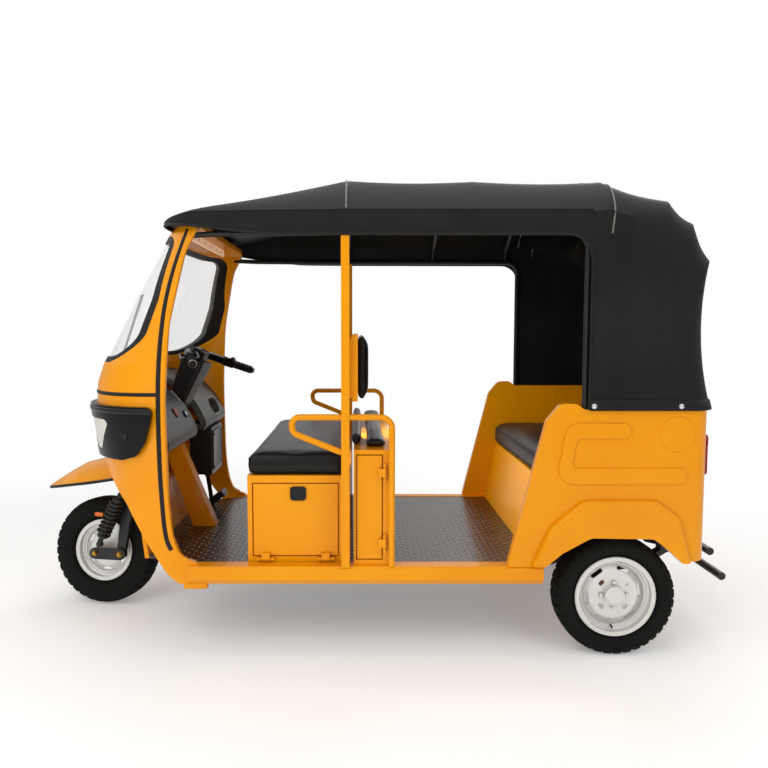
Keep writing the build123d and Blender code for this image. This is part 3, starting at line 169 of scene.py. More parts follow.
# %% Lamps and camera
# Columns: name, spot, target, size, power in watts, and whether reflections see the lamp. The
# lamps on the camera's side stay out of them, so that they light the enamel and don't wash
# out its colour. The cabin panel is a small lamp that lifts the shade at the bench's foot.
MIDDLE, BENCH_FOOT = (0.0, 0.0, 0.8), (-0.75, 0.0, 0.48)
LAMPS = (
    ("key_softbox", (2.2, 3.6, 4.4), MIDDLE, (4.0, 3.0), 72.0, False),
    ("fill_softbox", (-3.0, 3.6, 2.6), MIDDLE, (3.0, 3.0), 50.0, False),
    ("low_softbox", (3.0, 4.2, 1.2), MIDDLE, (3.0, 1.6), 72.0, False),
    ("top_softbox", (0.0, 0.0, 5.2), MIDDLE, (5.0, 3.5), 68.0, True),
    ("rear_softbox", (-2.5, -4.0, 3.2), MIDDLE, (3.0, 3.0), 70.0, True),
    ("cabin_panel", (-0.22, 0.1, 1.05), BENCH_FOOT, (0.3, 0.9), 4.5, False),
)
for name, spot, target, size, power, shows in LAMPS:
    lamp = bpy.data.lights.new(name, "AREA")
    lamp.shape = "RECTANGLE"
    lamp.size, lamp.size_y = size
    lamp.energy = power
    lamp_object = bpy.data.objects.new(name, lamp)
    lamp_object.location = spot
    lamp_object.visible_glossy = shows
    lamp_object.visible_camera = False
    aim = Vector(target) - Vector(spot)
    lamp_object.rotation_euler = aim.to_track_quat("-Z", "Y").to_euler()
    scene.collection.objects.link(lamp_object)

IMAGE_WIDTH = 768
FOCAL_PIXELS = 715.0
CENTRE_PIXEL = 358.8
CAMERA_SPOT, LOOK_DOWN = (0.02, 3.30, 1.266), 4.24
camera_data = bpy.data.cameras.new("photo_camera")
camera_data.sensor_width = 36.0
camera_data.lens = FOCAL_PIXELS / IMAGE_WIDTH * camera_data.sensor_width
camera_data.shift_x = (IMAGE_WIDTH / 2 - CENTRE_PIXEL) / IMAGE_WIDTH
camera = bpy.data.objects.new("photo_camera", camera_data)
camera.location = CAMERA_SPOT
camera.rotation_euler = (math.radians(90 - LOOK_DOWN), 0, math.pi)
scene.collection.objects.link(camera)
scene.camera = camera
print("lamps", len(LAMPS), "camera lens", round(camera_data.lens, 2))

# %% [markdown]
# ## Finishes
#
# Each finish starts from the real material: how it was made tells us its gloss and
# its grain. Patterns read object coordinates in metres, so a scale is one over a
# real spacing. Constants sit on the shader's own sockets.

# %% Leading patterns to a shader
def lead(tree, shader, tone=None, rough=None, relief=None):
    """Lead patterns to a shader's sockets.

    tone is (pattern, stop, hex code, stop, hex code), rough is (pattern, roughness at 0 and
    at 1), and relief is (pattern, strength, depth in metres).
    """
    if tone:
        pattern, low, dark, high, light = tone
        stops = ((low, linear(dark)), (high, linear(light)))
        add_node(tree, "ValToRGB", {"stops": stops}, {"Fac": pattern}, shader.inputs["Base Color"])
    if rough:
        pattern, at_zero, at_one = rough
        limits = {"To Min": at_zero, "To Max": at_one}
        add_node(tree, "MapRange", limits, {"Value": pattern}, shader.inputs["Roughness"])
    if relief:
        pattern, strength, depth = relief
        press = {"Strength": strength, "Distance": depth}
        add_node(tree, "Bump", press, {"Height": pattern}, shader.inputs["Normal"])


print("patterns lead to colour, roughness and relief")

# %% Baked yellow enamel
# Sprayed enamel on pressed steel: a saturated base under a clear gloss, with a faint
# orange-peel ripple a few millimetres across that softens reflections.
PEEL_MM, CLOUD_MM = 9.0, 400.0
enamel, tree, shader, place = new_finish(
    "baked_yellow_enamel",
    {"Roughness": 0.34, "IOR": 1.5, "Specular IOR Level": 0.13, "Coat Weight": 0.2, "Coat Roughness": 0.05}
)
cloud = add_node(tree, "TexNoise", {"Scale": 1000 / CLOUD_MM, "Detail": 3.0}, {"Vector": place})
peel = add_node(tree, "TexNoise", {"Scale": 1000 / PEEL_MM, "Detail": 1.0}, {"Vector": place})
lead(
    tree, shader, tone=(cloud.outputs["Fac"], 0.3, "#DC8A00", 0.7, "#E39402"),
    relief=(peel.outputs["Fac"], 0.06, 0.001)
)
print("finish", enamel.name)

# %% Embossed yellow plate
# The bench base is pressed with a small diamond grip pattern before painting. The raised
# diamonds are painted a lighter yellow than the hollows: a painted highlight on their tops.
EMBOSS_MM = 16.0
DIAGONAL = math.radians(45)
embossed_enamel, tree, shader, place = new_finish(
    "embossed_yellow_plate",
    {"Roughness": 0.36, "IOR": 1.5, "Specular IOR Level": 0.1, "Coat Weight": 0.1, "Coat Roughness": 0.12}
)
turn = add_node(tree, "Mapping", {"Rotation": (DIAGONAL, DIAGONAL, 0)}, {"Vector": place})
cells = add_node(
    tree, "TexVoronoi", {"Scale": 1000 / EMBOSS_MM, "Randomness": 0.0}, {"Vector": turn.outputs["Vector"]}
).outputs["Distance"]
# Lighter yellow near each cell's middle, where the diamond is raised: a painted highlight.
lead(tree, shader, tone=(cells, 0.1, "#FFB81C", 0.6, "#F2A00C"))
press = {"Strength": 0.35, "Distance": 0.002, "invert": True}
add_node(tree, "Bump", press, {"Height": cells}, shader.inputs["Normal"])
print("finish", embossed_enamel.name)

# %% Black satin paint on steel tube and castings
# Powder coat: dark, half gloss, with a fine pebble that scatters the highlight.
POWDER_MM = 1.6
black_steel, tree, shader, place = new_finish(
    "powder_coated_black_steel", {"Roughness": 0.42, "IOR": 1.5, "Specular IOR Level": 0.45}
)
pebble = add_node(tree, "TexNoise", {"Scale": 1000 / POWDER_MM, "Detail": 2.0}, {"Vector": place}).outputs["Fac"]
lead(tree, shader, tone=(pebble, 0.35, "#131312", 0.65, "#1E1E1D"), relief=(pebble, 0.15, 0.0006))
print("finish", black_steel.name)

# %% Chequered floor covering
# A dark brown vinyl with a raised lozenge every 34 mm. The high spots are glossier, and
# are also painted a lighter brown: a painted sheen, so the grip pattern catches the light.
LOZENGE_MM = 34.0
floor_cover, tree, shader, place = new_finish("chequered_vinyl_floor", {"IOR": 1.5, "Specular IOR Level": 0.6})
turn = add_node(
    tree, "Mapping",
    {"Rotation": (0, 0, DIAGONAL), "Scale": (1000 / LOZENGE_MM, 1000 / LOZENGE_MM, 1)}, {"Vector": place}
)
lozenge = add_node(
    tree, "TexVoronoi",
    {"voronoi_dimensions": "2D", "distance": "MANHATTAN", "Scale": 1.0, "Randomness": 0.0},
    {"Vector": turn.outputs["Vector"]}
)
stops = ((0.28, (1, 1, 1, 1)), (0.42, (0, 0, 0, 1)))
rise = add_node(tree, "ValToRGB", {"stops": stops}, {"Fac": lozenge.outputs["Distance"]}).outputs["Color"]
# The raised lozenges take the lighter brown, which is painted sheen, as well as the lower roughness and the relief.
lead(tree, shader, (rise, 0.0, "#1C1009", 1.0, "#50341F"), (rise, 0.3, 0.12), (rise, 0.55, 0.003))
print("finish", floor_cover.name)

# %% Black seat vinyl
# Knitted-back PVC with a pressed leather grain of about 3 mm, and a soft sheen.
LEATHER_MM, PATCH_MM = 3.0, 120.0
seat_vinyl, tree, shader, place = new_finish(
    "grained_black_seat_vinyl",
    {"IOR": 1.48, "Specular IOR Level": 0.32, "Sheen Weight": 0.02, "Sheen Roughness": 0.4}
)
grain = add_node(
    tree, "TexVoronoi", {"Scale": 1000 / LEATHER_MM, "feature": "DISTANCE_TO_EDGE"}, {"Vector": place}
).outputs["Distance"]
cloud = add_node(tree, "TexNoise", {"Scale": 1000 / PATCH_MM, "Detail": 4.0}, {"Vector": place}).outputs["Fac"]
lead(tree, shader, (cloud, 0.3, "#080807", 0.75, "#0D0D0C"), (cloud, 0.34, 0.46), (grain, 0.25, 0.0008))
print("finish", seat_vinyl.name)

# %% Black coated canvas
# The soft top is woven canvas with a PVC face. The weave is drawn at 3 mm, coarser than
# the real thread, so that it still shows at this distance.
WEAVE_MM, DUST_MM = 3.0, 250.0
canvas, tree, shader, place = new_finish("coated_black_canvas", {"IOR": 1.46, "Specular IOR Level": 0.2})
scale = add_node(tree, "Mapping", {"Scale": (1000 / WEAVE_MM,) * 3}, {"Vector": place})
weave = add_node(tree, "TexChecker", {"Scale": 1.0}, {"Vector": scale.outputs["Vector"]})
cloud = add_node(tree, "TexNoise", {"Scale": 1000 / DUST_MM, "Detail": 5.0}, {"Vector": place}).outputs["Fac"]
lead(tree, shader, (cloud, 0.3, "#111210", 0.75, "#1B1C1A"), (cloud, 0.46, 0.6))
thread = add_node(tree, "Bump", {"Strength": 0.05, "Distance": 0.0005}, {"Height": weave.outputs["Fac"]})
add_node(
    tree, "Bump", {"Strength": 0.2, "Distance": 0.006},
    {"Height": cloud, "Normal": thread.outputs["Normal"]}, shader.inputs["Normal"]
)
print("finish", canvas.name)

# %% Moulded black plastic, grey dashboard plastic and rubber
# Polypropylene and ABS take a spark-eroded grain from the mould; rubber is rougher still.
def moulded(name, dark, light, grain_mm, rough, depth, shine=0.28):
    """A pebble-grained moulding between two tones."""
    settings = {"Roughness": rough, "IOR": 1.49, "Specular IOR Level": shine}
    material, tree, shader, place = new_finish(name, settings)
    pebble = add_node(tree, "TexNoise", {"Scale": 1000 / grain_mm, "Detail": 3.0}, {"Vector": place})
    pebble = pebble.outputs["Fac"]
    lead(tree, shader, tone=(pebble, 0.35, dark, 0.65, light), relief=(pebble, depth, 0.0008))
    return material


black_plastic = moulded("grained_black_abs", "#141414", "#202020", 2.0, 0.38, 0.12)
dash_plastic = moulded("grained_grey_abs", "#3A3B3A", "#4A4B4A", 2.2, 0.45, 0.2)
rubber = moulded("black_epdm_rubber", "#101010", "#191918", 3.0, 0.55, 0.15)
tyre_rubber = moulded("tyre_rubber", "#0B0C0A", "#121310", 4.0, 0.78, 0.3, 0.16)
pod_plastic = moulded("satin_black_lamp_housing", "#08090A", "#0D0E10", 1.8, 0.24, 0.04, 0.16)
plate_white = moulded("blank_white_plate", "#DEDEDA", "#E8E8E4", 30.0, 0.4, 0.02)
print("mouldings of plastic and rubber ready")

# %% Silver wheel paint, plated steel and chrome
SMEAR_MM = 20.0


def metal(name, colour, rough, metallic=1.0):
    """Bare, plated or silver-painted metal with a fine roughness variation."""
    material, tree, shader, place = new_finish(name, {"Base Color": linear(colour), "Metallic": metallic})
    smear = add_node(tree, "TexNoise", {"Scale": 1000 / SMEAR_MM, "Detail": 4.0}, {"Vector": place})
    lead(tree, shader, rough=(smear.outputs["Fac"], rough * 0.8, rough * 1.25))
    return material


wheel_silver = metal("silver_wheel_enamel", "#D6D5D1", 0.36, 0.55)
zinc = metal("zinc_plated_steel", "#B9BABA", 0.3)
gold_zinc = metal("yellow_passivated_steel", "#C79A3C", 0.32)
chrome = metal("chromed_reflector", "#E6E8EA", 0.08)
print("metals ready")

# %% Lamp lenses and windscreen glass
# Lenses are moulded acrylic. The headlamp's has upright flutes that spread the beam; a wave
# texture of scale 1 repeats every pi / 10 metres. The windscreen is thin curved glass, seen
# mostly by what it reflects, and a see-through share keeps the background bright behind it.
FLUTE_MM = 12.0


def glassy(name, colour, rough, see_through):
    """Clear or tinted moulded lens."""
    settings = {"Base Color": linear(colour), "Roughness": rough, "IOR": 1.49, "Transmission Weight": see_through}
    return new_finish(name, settings)


lens_clear, tree, shader, place = glassy("fluted_headlamp_lens", "#D9D6CC", 0.16, 0.2)
flutes = add_node(
    tree, "TexWave", {"bands_direction": "Y", "Scale": math.pi / 10 / (FLUTE_MM * 0.001)}, {"Vector": place}
)
lead(tree, shader, relief=(flutes.outputs["Fac"], 0.5, 0.002))
lens_amber = glassy("amber_acrylic", "#E8730C", 0.15, 0.3)[0]
lens_red = glassy("red_acrylic", "#A80C0C", 0.12, 0.35)[0]
screen_glass = new_finish(
    "windscreen_glass",
    {"Base Color": linear("#EEF4F3"), "Roughness": 0.02, "IOR": 1.45, "Alpha": 0.16, "Specular IOR Level": 0.6}
)[0]
print("finishes", len(bpy.data.materials))

# %% [markdown]
# ## Finishes on the CAD nodes
#
# Panels, tubes and castings whose CAD shape is right keep it and take a finish. A
# short table pairs each finish with the nodes that wear it.

# %% Give the nodes their finishes
NODE_FINISHES = (
    (enamel, (
        "front_shell_lower", "front_shell_upper", "front_mudguard", "steering_head", "wheel_well", "sills",
        "seat_box", "battery_door_left", "battery_door_right", "locker_box", "locker_door_left",
        "locker_door_right", "mid_pillars", "arm_rails", "backrest_board", "tub_side_left", "tub_side_right",
        "tub_back",
    )),
    (embossed_enamel, ("bench_base",)),
    (black_steel, (
        "chassis_rails", "cross_members", "canopy_frame", "rear_bumper", "rear_axle", "leaf_springs", "drive_motor",
        "steering_fork", "front_suspension", "brake_pedal",
    )),
    (floor_cover, ("floor_pan",)),
    (seat_vinyl, (
        "driver_cushion", "driver_backrest", "locker_pad", "backrest_pad", "bench_cushion", "bench_backrest",
    )),
    (canvas, ("canopy_roof", "canopy_rear")),
    (screen_glass, ("windscreen_glass",)),
    (lens_clear, ("headlamp_lenses",)),
    (pod_plastic, ("headlamp_pods",)),
    (black_plastic, ("control_box", "handlebar", "wiper", "battery_block")),
    (rubber, ("windscreen_seal",)),
    (dash_plastic, ("dashboard",)),
    (lens_red, ("tail_lamps",)),
    (plate_white, ("number_plate",)),
    (wheel_silver, ("front_rim", "rear_rim_left", "rear_rim_right")),
    (tyre_rubber, ("front_tyre", "rear_tyre_left", "rear_tyre_right")),
)
for finish, names in NODE_FINISHES:
    for name in names:
        nodes[name].data.materials.clear()
        nodes[name].data.materials.append(finish)
print("dressed nodes", sum(len(names) for finish, names in NODE_FINISHES))

# %% [markdown]
# ## Making pieces
#
# A few small helpers do what a hand does again and again: pick an object, add a shaped
# mesh, round its edges, and settle its place into the mesh so that it sits at the
# origin like the CAD nodes.

# %% Helpers to pick, join and settle
MM = 0.001


def pick(piece):
    """Select one object alone and make it the active one."""
    deselect()
    piece.select_set(True)
    bpy.context.view_layer.objects.active = piece


def choose(piece, wanted, part="FACE"):
    """Open a piece in edit mode with only the faces, or edges, that pass a test selected."""
    pick(piece)
    bpy.ops.object.mode_set(mode="EDIT")
    bpy.ops.mesh.select_mode(type=part)
    bpy.ops.mesh.select_all(action="DESELECT")
    bpy.ops.object.mode_set(mode="OBJECT")
    for item in piece.data.polygons if part == "FACE" else piece.data.edges:
        item.select = wanted(item)
    bpy.ops.object.mode_set(mode="EDIT")


def settle(piece, name, finish, body, slot):
    """Name a piece, apply its place, give it its finish and its body, and return it."""
    pick(piece)
    bpy.ops.object.transform_apply(location=True, rotation=True, scale=True)
    piece.name = name
    piece.data.name = name
    piece.data.materials.clear()
    piece.data.materials.append(finish)
    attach(piece, body)
    return piece


def finish_with(piece, kind, **settings):
    """Add one modifier with its settings and apply it."""
    pick(piece)
    modifier = piece.modifiers.new(kind.lower(), kind)
    for key, value in settings.items():
        setattr(modifier, key, value)
    bpy.ops.object.modifier_apply(modifier=modifier.name)


def smooth(piece, degrees=35):
    """Shade smooth, but keep edges sharper than an angle crisp."""
    pick(piece)
    bpy.ops.object.shade_smooth_by_angle(angle=math.radians(degrees))


def merged(pieces):
    """Join several pieces into the first one."""
    deselect()
    for piece in pieces:
        piece.select_set(True)
    bpy.context.view_layer.objects.active = pieces[0]
    bpy.ops.object.join()
    return pieces[0]


def tidy_mesh(piece):
    """Merge doubled points and turn the faces outwards."""
    pick(piece)
    bpy.ops.object.mode_set(mode="EDIT")
    bpy.ops.mesh.select_all(action="SELECT")
    bpy.ops.mesh.remove_doubles(threshold=0.00005)
    bpy.ops.mesh.normals_make_consistent(inside=False)
    bpy.ops.object.mode_set(mode="OBJECT")


def ease_edges(piece, width, degrees):
    """Round the edges sharper than an angle, by a width in millimetres."""
    limit = math.radians(degrees)
    finish_with(piece, "BEVEL", width=width * MM, segments=2, limit_method="ANGLE", angle_limit=limit)


def inset_front(piece, *steps):
    """Inset the faces towards +Y by steps of (thickness, height) in millimetres."""
    choose(piece, lambda face: face.normal.y > 0.9)
    for thickness, height in steps:
        bpy.ops.mesh.inset(thickness=thickness * MM, depth=height * MM)
    bpy.ops.object.mode_set(mode="OBJECT")


print("helpers to pick, join and settle ready")

# %% Helpers for shapes
def rounded_block(low, high, bevel, steps=3):
    """A block between two corners in millimetres, with its edges rounded in edit mode."""
    deselect()
    middle = [(a + b) / 2 * MM for a, b in zip(low, high)]
    bpy.ops.mesh.primitive_cube_add(size=1, location=middle)
    block = bpy.context.object
    block.scale = [(b - a) * MM for a, b in zip(low, high)]
    bpy.ops.object.transform_apply(location=True, rotation=True, scale=True)
    bpy.ops.object.mode_set(mode="EDIT")
    bpy.ops.mesh.select_all(action="SELECT")
    bpy.ops.mesh.bevel(offset=bevel * MM, segments=steps, affect="EDGES")
    bpy.ops.object.mode_set(mode="OBJECT")
    smooth(block)
    return block


def drum(sides, radius, tall, x, y, z):
    """A cylinder or prism along Y, in millimetres, with its middle at a place."""
    deselect()
    bpy.ops.mesh.primitive_cylinder_add(
        vertices=sides, radius=radius * MM, depth=tall * MM, location=(x * MM, y * MM, z * MM),
        rotation=(math.pi / 2, 0, 0)
    )
    bpy.ops.object.transform_apply(location=True, rotation=True, scale=True)
    return bpy.context.object


def ring(radius, thick, x, y, z, turn=(math.pi / 2, 0, 0), around=24, sides=8):
    """A round ring in millimetres, about Y unless it is turned another way."""
    bpy.ops.mesh.primitive_torus_add(
        major_radius=radius * MM, minor_radius=thick * MM, major_segments=around, minor_segments=sides,
        location=(x * MM, y * MM, z * MM), rotation=turn
    )
    return bpy.context.object


def shaped_grid(columns, rows, spot_of):
    """A grid whose points are placed, in metres, by a function of their column and row."""
    deselect()
    bpy.ops.mesh.primitive_grid_add(x_subdivisions=columns - 1, y_subdivisions=rows - 1, size=2)
    grid = bpy.context.object
    for vertex in grid.data.vertices:
        column = round((vertex.co.x + 1) / 2 * (columns - 1))
        row = round((vertex.co.y + 1) / 2 * (rows - 1))
        vertex.co = spot_of(column, row)
    grid.data.update()
    return grid


def smooth_curve(points, closed, resolution):
    """A curve object drawn smoothly by its control points in millimetres."""
    line = bpy.data.curves.new("line", "CURVE")
    line.dimensions = "3D"
    spline = line.splines.new("NURBS")
    spline.points.add(len(points) - 1)
    for point, place in zip(spline.points, points):
        point.co = [v * MM for v in place] + [1.0]
    spline.order_u = 3
    spline.use_cyclic_u = closed
    spline.use_endpoint_u = not closed
    spline.resolution_u = resolution
    return bpy.data.objects.new("line", line)


def smooth_line(points):
    """Points of a smooth line, in metres, from its control points in millimetres."""
    guide = smooth_curve(points, False, 5)
    read = [vertex.co.copy() for vertex in bpy.data.meshes.new_from_object(guide).vertices]
    bpy.data.objects.remove(guide)
    return read


def tube(points, radius, closed=False, sides=4):
    """A round tube in millimetres along a smooth line."""
    deselect()
    rope = smooth_curve(points, closed, 6)
    rope.data.bevel_depth = radius * MM
    rope.data.bevel_resolution = sides
    rope.data.use_fill_caps = True
    scene.collection.objects.link(rope)
    pick(rope)
    bpy.ops.object.convert(target="MESH")
    piece = bpy.context.object
    tidy_mesh(piece)
    smooth(piece, 50)
    return piece


def mirrored(points):
    """The same run of points on the other side of the vehicle."""
    return [(x, -y, z) for x, y, z in points]


SIDES = (("left", 1), ("right", -1))
print("helpers for shapes ready")

# %% [markdown]
# ## The soft top
#
# Coated canvas is stretched over tubular bows. Between two bows the cloth pulls in a
# little, and behind the last upright bow it fans down to a hem on the tub. Two grids
# make it. One runs along the roof, and the other turns about the bottom front corner
# of the side panel, the way the real bows fold. Each point of a grid is placed by the
# line of the bows and by the arch across.

# %% Lines of the roof
TOP_HALF = 632.0
SPLIT_X = -845.0
HEM_Z = 969.0
SEAM_Z, LEAST_SEAM_DROP = 1714.0, 8.0
SHOULDER = (140.0, 212.0)
BOW_SAG = 11.0
ROOF_FRONT_X, FRONT_BOW_X = 812.0, 67.0
FRONT_EDGE_Z, VALANCE_Z = 1688.0, 1622.0
ROOF_LINE = (
    (ROOF_FRONT_X, 1702.0), (690.0, 1718.0), (FRONT_BOW_X, 1854.0), (-423.0, 1850.0), (-913.0, 1846.0),
)
HALF_LINE = ((ROOF_FRONT_X, 578.0), (520.0, 596.0), (71.0, TOP_HALF), (-913.0, TOP_HALF))
EDGE_LINE = (
    (ROOF_FRONT_X, FRONT_EDGE_Z), (640.0, 1662.0), (520.0, 1644.0), (330.0, 1624.0), (-755.0, VALANCE_Z),
)
CORNER_X, CORNER_Y, CORNER_R = 527.0, 311.0, 285.0
OPENING_R = 90.0
CROWN_ROWS, SHOULDER_ROWS, SIDE_ROWS = 8, 9, 9
ARCH_ROWS = CROWN_ROWS + SHOULDER_ROWS
ROWS = ARCH_ROWS + SIDE_ROWS


def along(table, x):
    """Read a table of (x, value) rows, with x falling, by straight lines."""
    for (x0, v0), (x1, v1) in zip(table, table[1:]):
        if x >= x1:
            return v0 + (v1 - v0) * (x0 - x) / (x0 - x1)
    return table[-1][1]


def roof_top(x):
    """Height of the cloth over the middle, with the pull between the bows."""
    for (x0, _), (x1, _) in zip(ROOF_LINE[1:], ROOF_LINE[2:]):
        if x1 <= x <= x0:
            return along(ROOF_LINE, x) - BOW_SAG * math.sin(math.pi * (x0 - x) / (x0 - x1))
    return along(ROOF_LINE, x)


def roof_half(x):
    """Half width of the cloth, rounded at the front corners."""
    if x <= CORNER_X:
        return along(HALF_LINE, x)
    front = CORNER_R * CORNER_R - (x - CORNER_X) ** 2
    return min(along(HALF_LINE, x), CORNER_Y + math.sqrt(max(front, 0.0)))


def roof_edge(x):
    """Height of the valance's lower edge, with the round corner of the side opening."""
    if x > SPLIT_X + OPENING_R:
        return along(EDGE_LINE, x)
    run = SPLIT_X + OPENING_R - x
    return VALANCE_Z - OPENING_R + math.sqrt(max(OPENING_R ** 2 - run * run, 0.0))


def shoulder(step, drop, inset, ease):
    """Point of the shoulder, as drop below the top and inset from the side; step 0 is the seam."""
    p0, p1 = (drop, 0.0), (drop * (0.43 + 0.02 * ease), inset * 0.28 * (1 - ease))
    p2, p3 = (0.0, inset * (0.6 - 0.15 * ease)), (0.0, inset)
    a, b = (1 - step) ** 3, 3 * step * (1 - step) ** 2
    c, d = 3 * step ** 2 * (1 - step), step ** 3
    return tuple(a * p0[i] + b * p1[i] + c * p2[i] + d * p3[i] for i in (0, 1))


print("roof at the first bow", roof_top(FRONT_BOW_X), "half", roof_half(FRONT_BOW_X))

# %% Roof grid
STATIONS = [ROOF_FRONT_X + 0.5]
STATIONS += [CORNER_X + CORNER_R * math.sin(math.radians(a)) for a in range(90, 0, -9)]
for start, end, count in (
    (CORNER_X, FRONT_BOW_X, 10), (FRONT_BOW_X, -423.0, 12), (-423.0, -755.0, 9), (-755.0, SPLIT_X, 9),
):
    STATIONS += [start + (end - start) * i / count for i in range(count)]
STATIONS.append(SPLIT_X)
SIDE_PUFF = 2.0


def roof_point(index, row):
    """Place of one roof point: row 0 is the middle and the last row is the valance's edge."""
    x = min(STATIONS[index], ROOF_FRONT_X)
    half, edge, top = roof_half(x), roof_edge(x), roof_top(x)
    seam = min(SEAM_Z, top - LEAST_SEAM_DROP)
    drop = top - seam
    inset = SHOULDER[1] * drop / SHOULDER[0]
    if row <= CROWN_ROWS:
        place = [x, (half - inset) * row / CROWN_ROWS, top]
    elif row <= ARCH_ROWS:
        d, e = shoulder((ARCH_ROWS - row) / SHOULDER_ROWS, drop, inset, 0.0)
        place = [x, half - e, top - d]
    else:
        share = (row - ARCH_ROWS) / SIDE_ROWS
        place = [x, half + SIDE_PUFF * math.sin(math.pi * share), seam + (edge - seam) * share]
    if index == 0:
        place[2] = edge
    return place


def cloth_grid(columns, point):
    """A cloth of two equal halves; a function gives the left one by column and by row from the middle."""
    def spot_of(column, row):
        x, y, z = point(column, abs(row - ROWS))
        return (x * MM, math.copysign(y, row - ROWS) * MM, z * MM)

    grid = shaped_grid(columns, 2 * ROWS + 1, spot_of)
    tidy_mesh(grid)
    return grid


roof = cloth_grid(len(STATIONS), roof_point)
print("roof cloth points", len(roof.data.vertices))

# %% Rear hood grid
# Bows in side view, each with the pull of the cloth before it and the number of steps to
# it; the back below the last bow is one smooth hollow.
BOWS = (
    (SPLIT_X, 1846.5, 0.0, 1), (-913.0, 1846.0, 2.0, 4), (-1156.0, 1764.0, 13.0, 10),
    (-1244.0, 1676.0, 13.0, 8), (-1308.0, 1540.0, 15.0, 8),
)
BACK_WAIST = (-1289.0, 1265.0)
BACK_HEM = (-1337.0, HEM_Z)
BACK_STEPS = 22
HOOD_CORNER = 100.0
CORNER_EASE = 32
SIDE_PULL, SHOULDER_PULL = 5.0, 0.35


def back_x(z):
    """Line of the back below the last bow: a parabola through bow, waist and hem."""
    (x0, z0), (x1, z1), (x2, z2) = BOWS[-1][:2], BACK_WAIST, BACK_HEM
    return (
        x0 * (z - z1) * (z - z2) / ((z0 - z1) * (z0 - z2))
        + x1 * (z - z0) * (z - z2) / ((z1 - z0) * (z1 - z2))
        + x2 * (z - z0) * (z - z1) / ((z2 - z0) * (z2 - z1))
    )


FAN = [(BOWS[0][0], BOWS[0][1], 0.0)]
for (x0, z0, _, _), (x1, z1, pull, count) in zip(BOWS, BOWS[1:]):
    for i in range(1, count + 1):
        share = i / count
        FAN.append((x0 + (x1 - x0) * share, z0 + (z1 - z0) * share, pull * math.sin(math.pi * share)))
for i in range(1, BACK_STEPS + 1):
    z = BOWS[-1][1] + (HEM_Z - BOWS[-1][1]) * i / BACK_STEPS
    FAN.append((back_x(z), z, 0.0))


def hood_point(index, row):
    """Place of one hood point, in the plane that turns about the bottom corner of the side panel."""
    x, z, pull = FAN[index]
    run, rise = SPLIT_X - x, z - HEM_Z
    reach = math.hypot(run, rise)
    ease = min(max((90 - math.degrees(math.atan2(rise, run))) / CORNER_EASE, 0.0), 1.0)
    drop = SHOULDER[0] + (HOOD_CORNER - SHOULDER[0]) * ease
    inset = SHOULDER[1] + (HOOD_CORNER - SHOULDER[1]) * ease
    if row <= CROWN_ROWS:
        far, y, weight = reach, (TOP_HALF - inset) * row / CROWN_ROWS, 1.0
    elif row <= ARCH_ROWS:
        step = (ARCH_ROWS - row) / SHOULDER_ROWS
        d, e = shoulder(step, drop, inset, ease)
        far, y, weight = reach - d, TOP_HALF - e, SHOULDER_PULL + (1 - SHOULDER_PULL) * step
    else:
        share = (row - ARCH_ROWS) / SIDE_ROWS
        far, y = (reach - drop) * (1 - share), TOP_HALF - SIDE_PULL * math.sin(math.pi * share)
        weight = SHOULDER_PULL * max(0.0, 1 - 2.5 * share)
    far -= pull * weight
    return [SPLIT_X - run / reach * far, y, HEM_Z + rise / reach * far]


hood = cloth_grid(len(FAN), hood_point)
soft_top = merged([roof, hood])
tidy_mesh(soft_top)
finish_with(soft_top, "SOLIDIFY", thickness=0.004, offset=-1.0)
smooth(soft_top, 28)
settle(soft_top, "soft_top", canvas, "body", "canopy_vinyl")
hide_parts("canopy_roof", "canopy_rear")

# %% [markdown]
# The cloth is bound along the side openings, piped over the two main bows, sewn along
# the roof's shoulder and weighted by a hem that snaps onto the tub. Each of these is a
# narrow strip or cord sewn on the cloth, so each is drawn as a line on the same formulas.

# %% Bindings, piping and shoulder seams
PIPE_R, BINDING_R, SEAM_R = 3.6, 5.0, 2.4
HOOD_BOW = 5


def arch_line(x, lift):
    """Points over the roof at one station, from seam to seam, lifted off the cloth."""
    index = min(range(1, len(STATIONS)), key=lambda i: abs(STATIONS[i] - x))
    left = [roof_point(index, row) for row in range(ARCH_ROWS, -1, -1)]
    left = [(x, y, z + lift) for _, y, z in left]
    return left + mirrored(reversed(left[:-1]))


opening = [(x, roof_half(x), roof_edge(x)) for x in STATIONS[1:]]
opening += [(SPLIT_X, TOP_HALF - 1, z) for z in (1480, 1300, 1120, 972)]
front_edge = [(ROOF_FRONT_X, y, FRONT_EDGE_Z) for y in (CORNER_Y, 150, 0, -150, -CORNER_Y)]
edges = [tube(line, BINDING_R) for line in (opening, mirrored(opening), front_edge)]
settle(merged(edges), "canopy_binding", rubber, "body", "canopy_vinyl")

shoulder_line = [
    (x, roof_half(x) + 0.5, min(SEAM_Z, roof_top(x) - LEAST_SEAM_DROP)) for x in STATIONS[1:]
]
split_line = [(SPLIT_X - 1, TOP_HALF + 0.5, z) for z in (1712, 1680, 1640, 1600, 1550)]
seams = [tube(line, SEAM_R) for half in (shoulder_line, split_line) for line in (half, mirrored(half))]
settle(merged(seams), "canopy_seams", rubber, "body", "canopy_vinyl")

piping_finish = moulded("grey_vinyl_piping", "#5A5B58", "#73746F", 6.0, 0.4, 0.1)
hood_bow = [hood_point(HOOD_BOW, row) for row in range(ARCH_ROWS + 1, -1, -1)]
hood_bow = [(x - 1, y, z + 2.0) for x, y, z in hood_bow]
hood_bow += mirrored(reversed(hood_bow[:-1]))
pipes = [tube(line, PIPE_R) for line in (arch_line(FRONT_BOW_X, 2.0), hood_bow)]
settle(merged(pipes), "canopy_piping", piping_finish, "body", "canopy_vinyl")
print("bindings", len(edges), "seams", len(seams), "pipes", len(pipes))

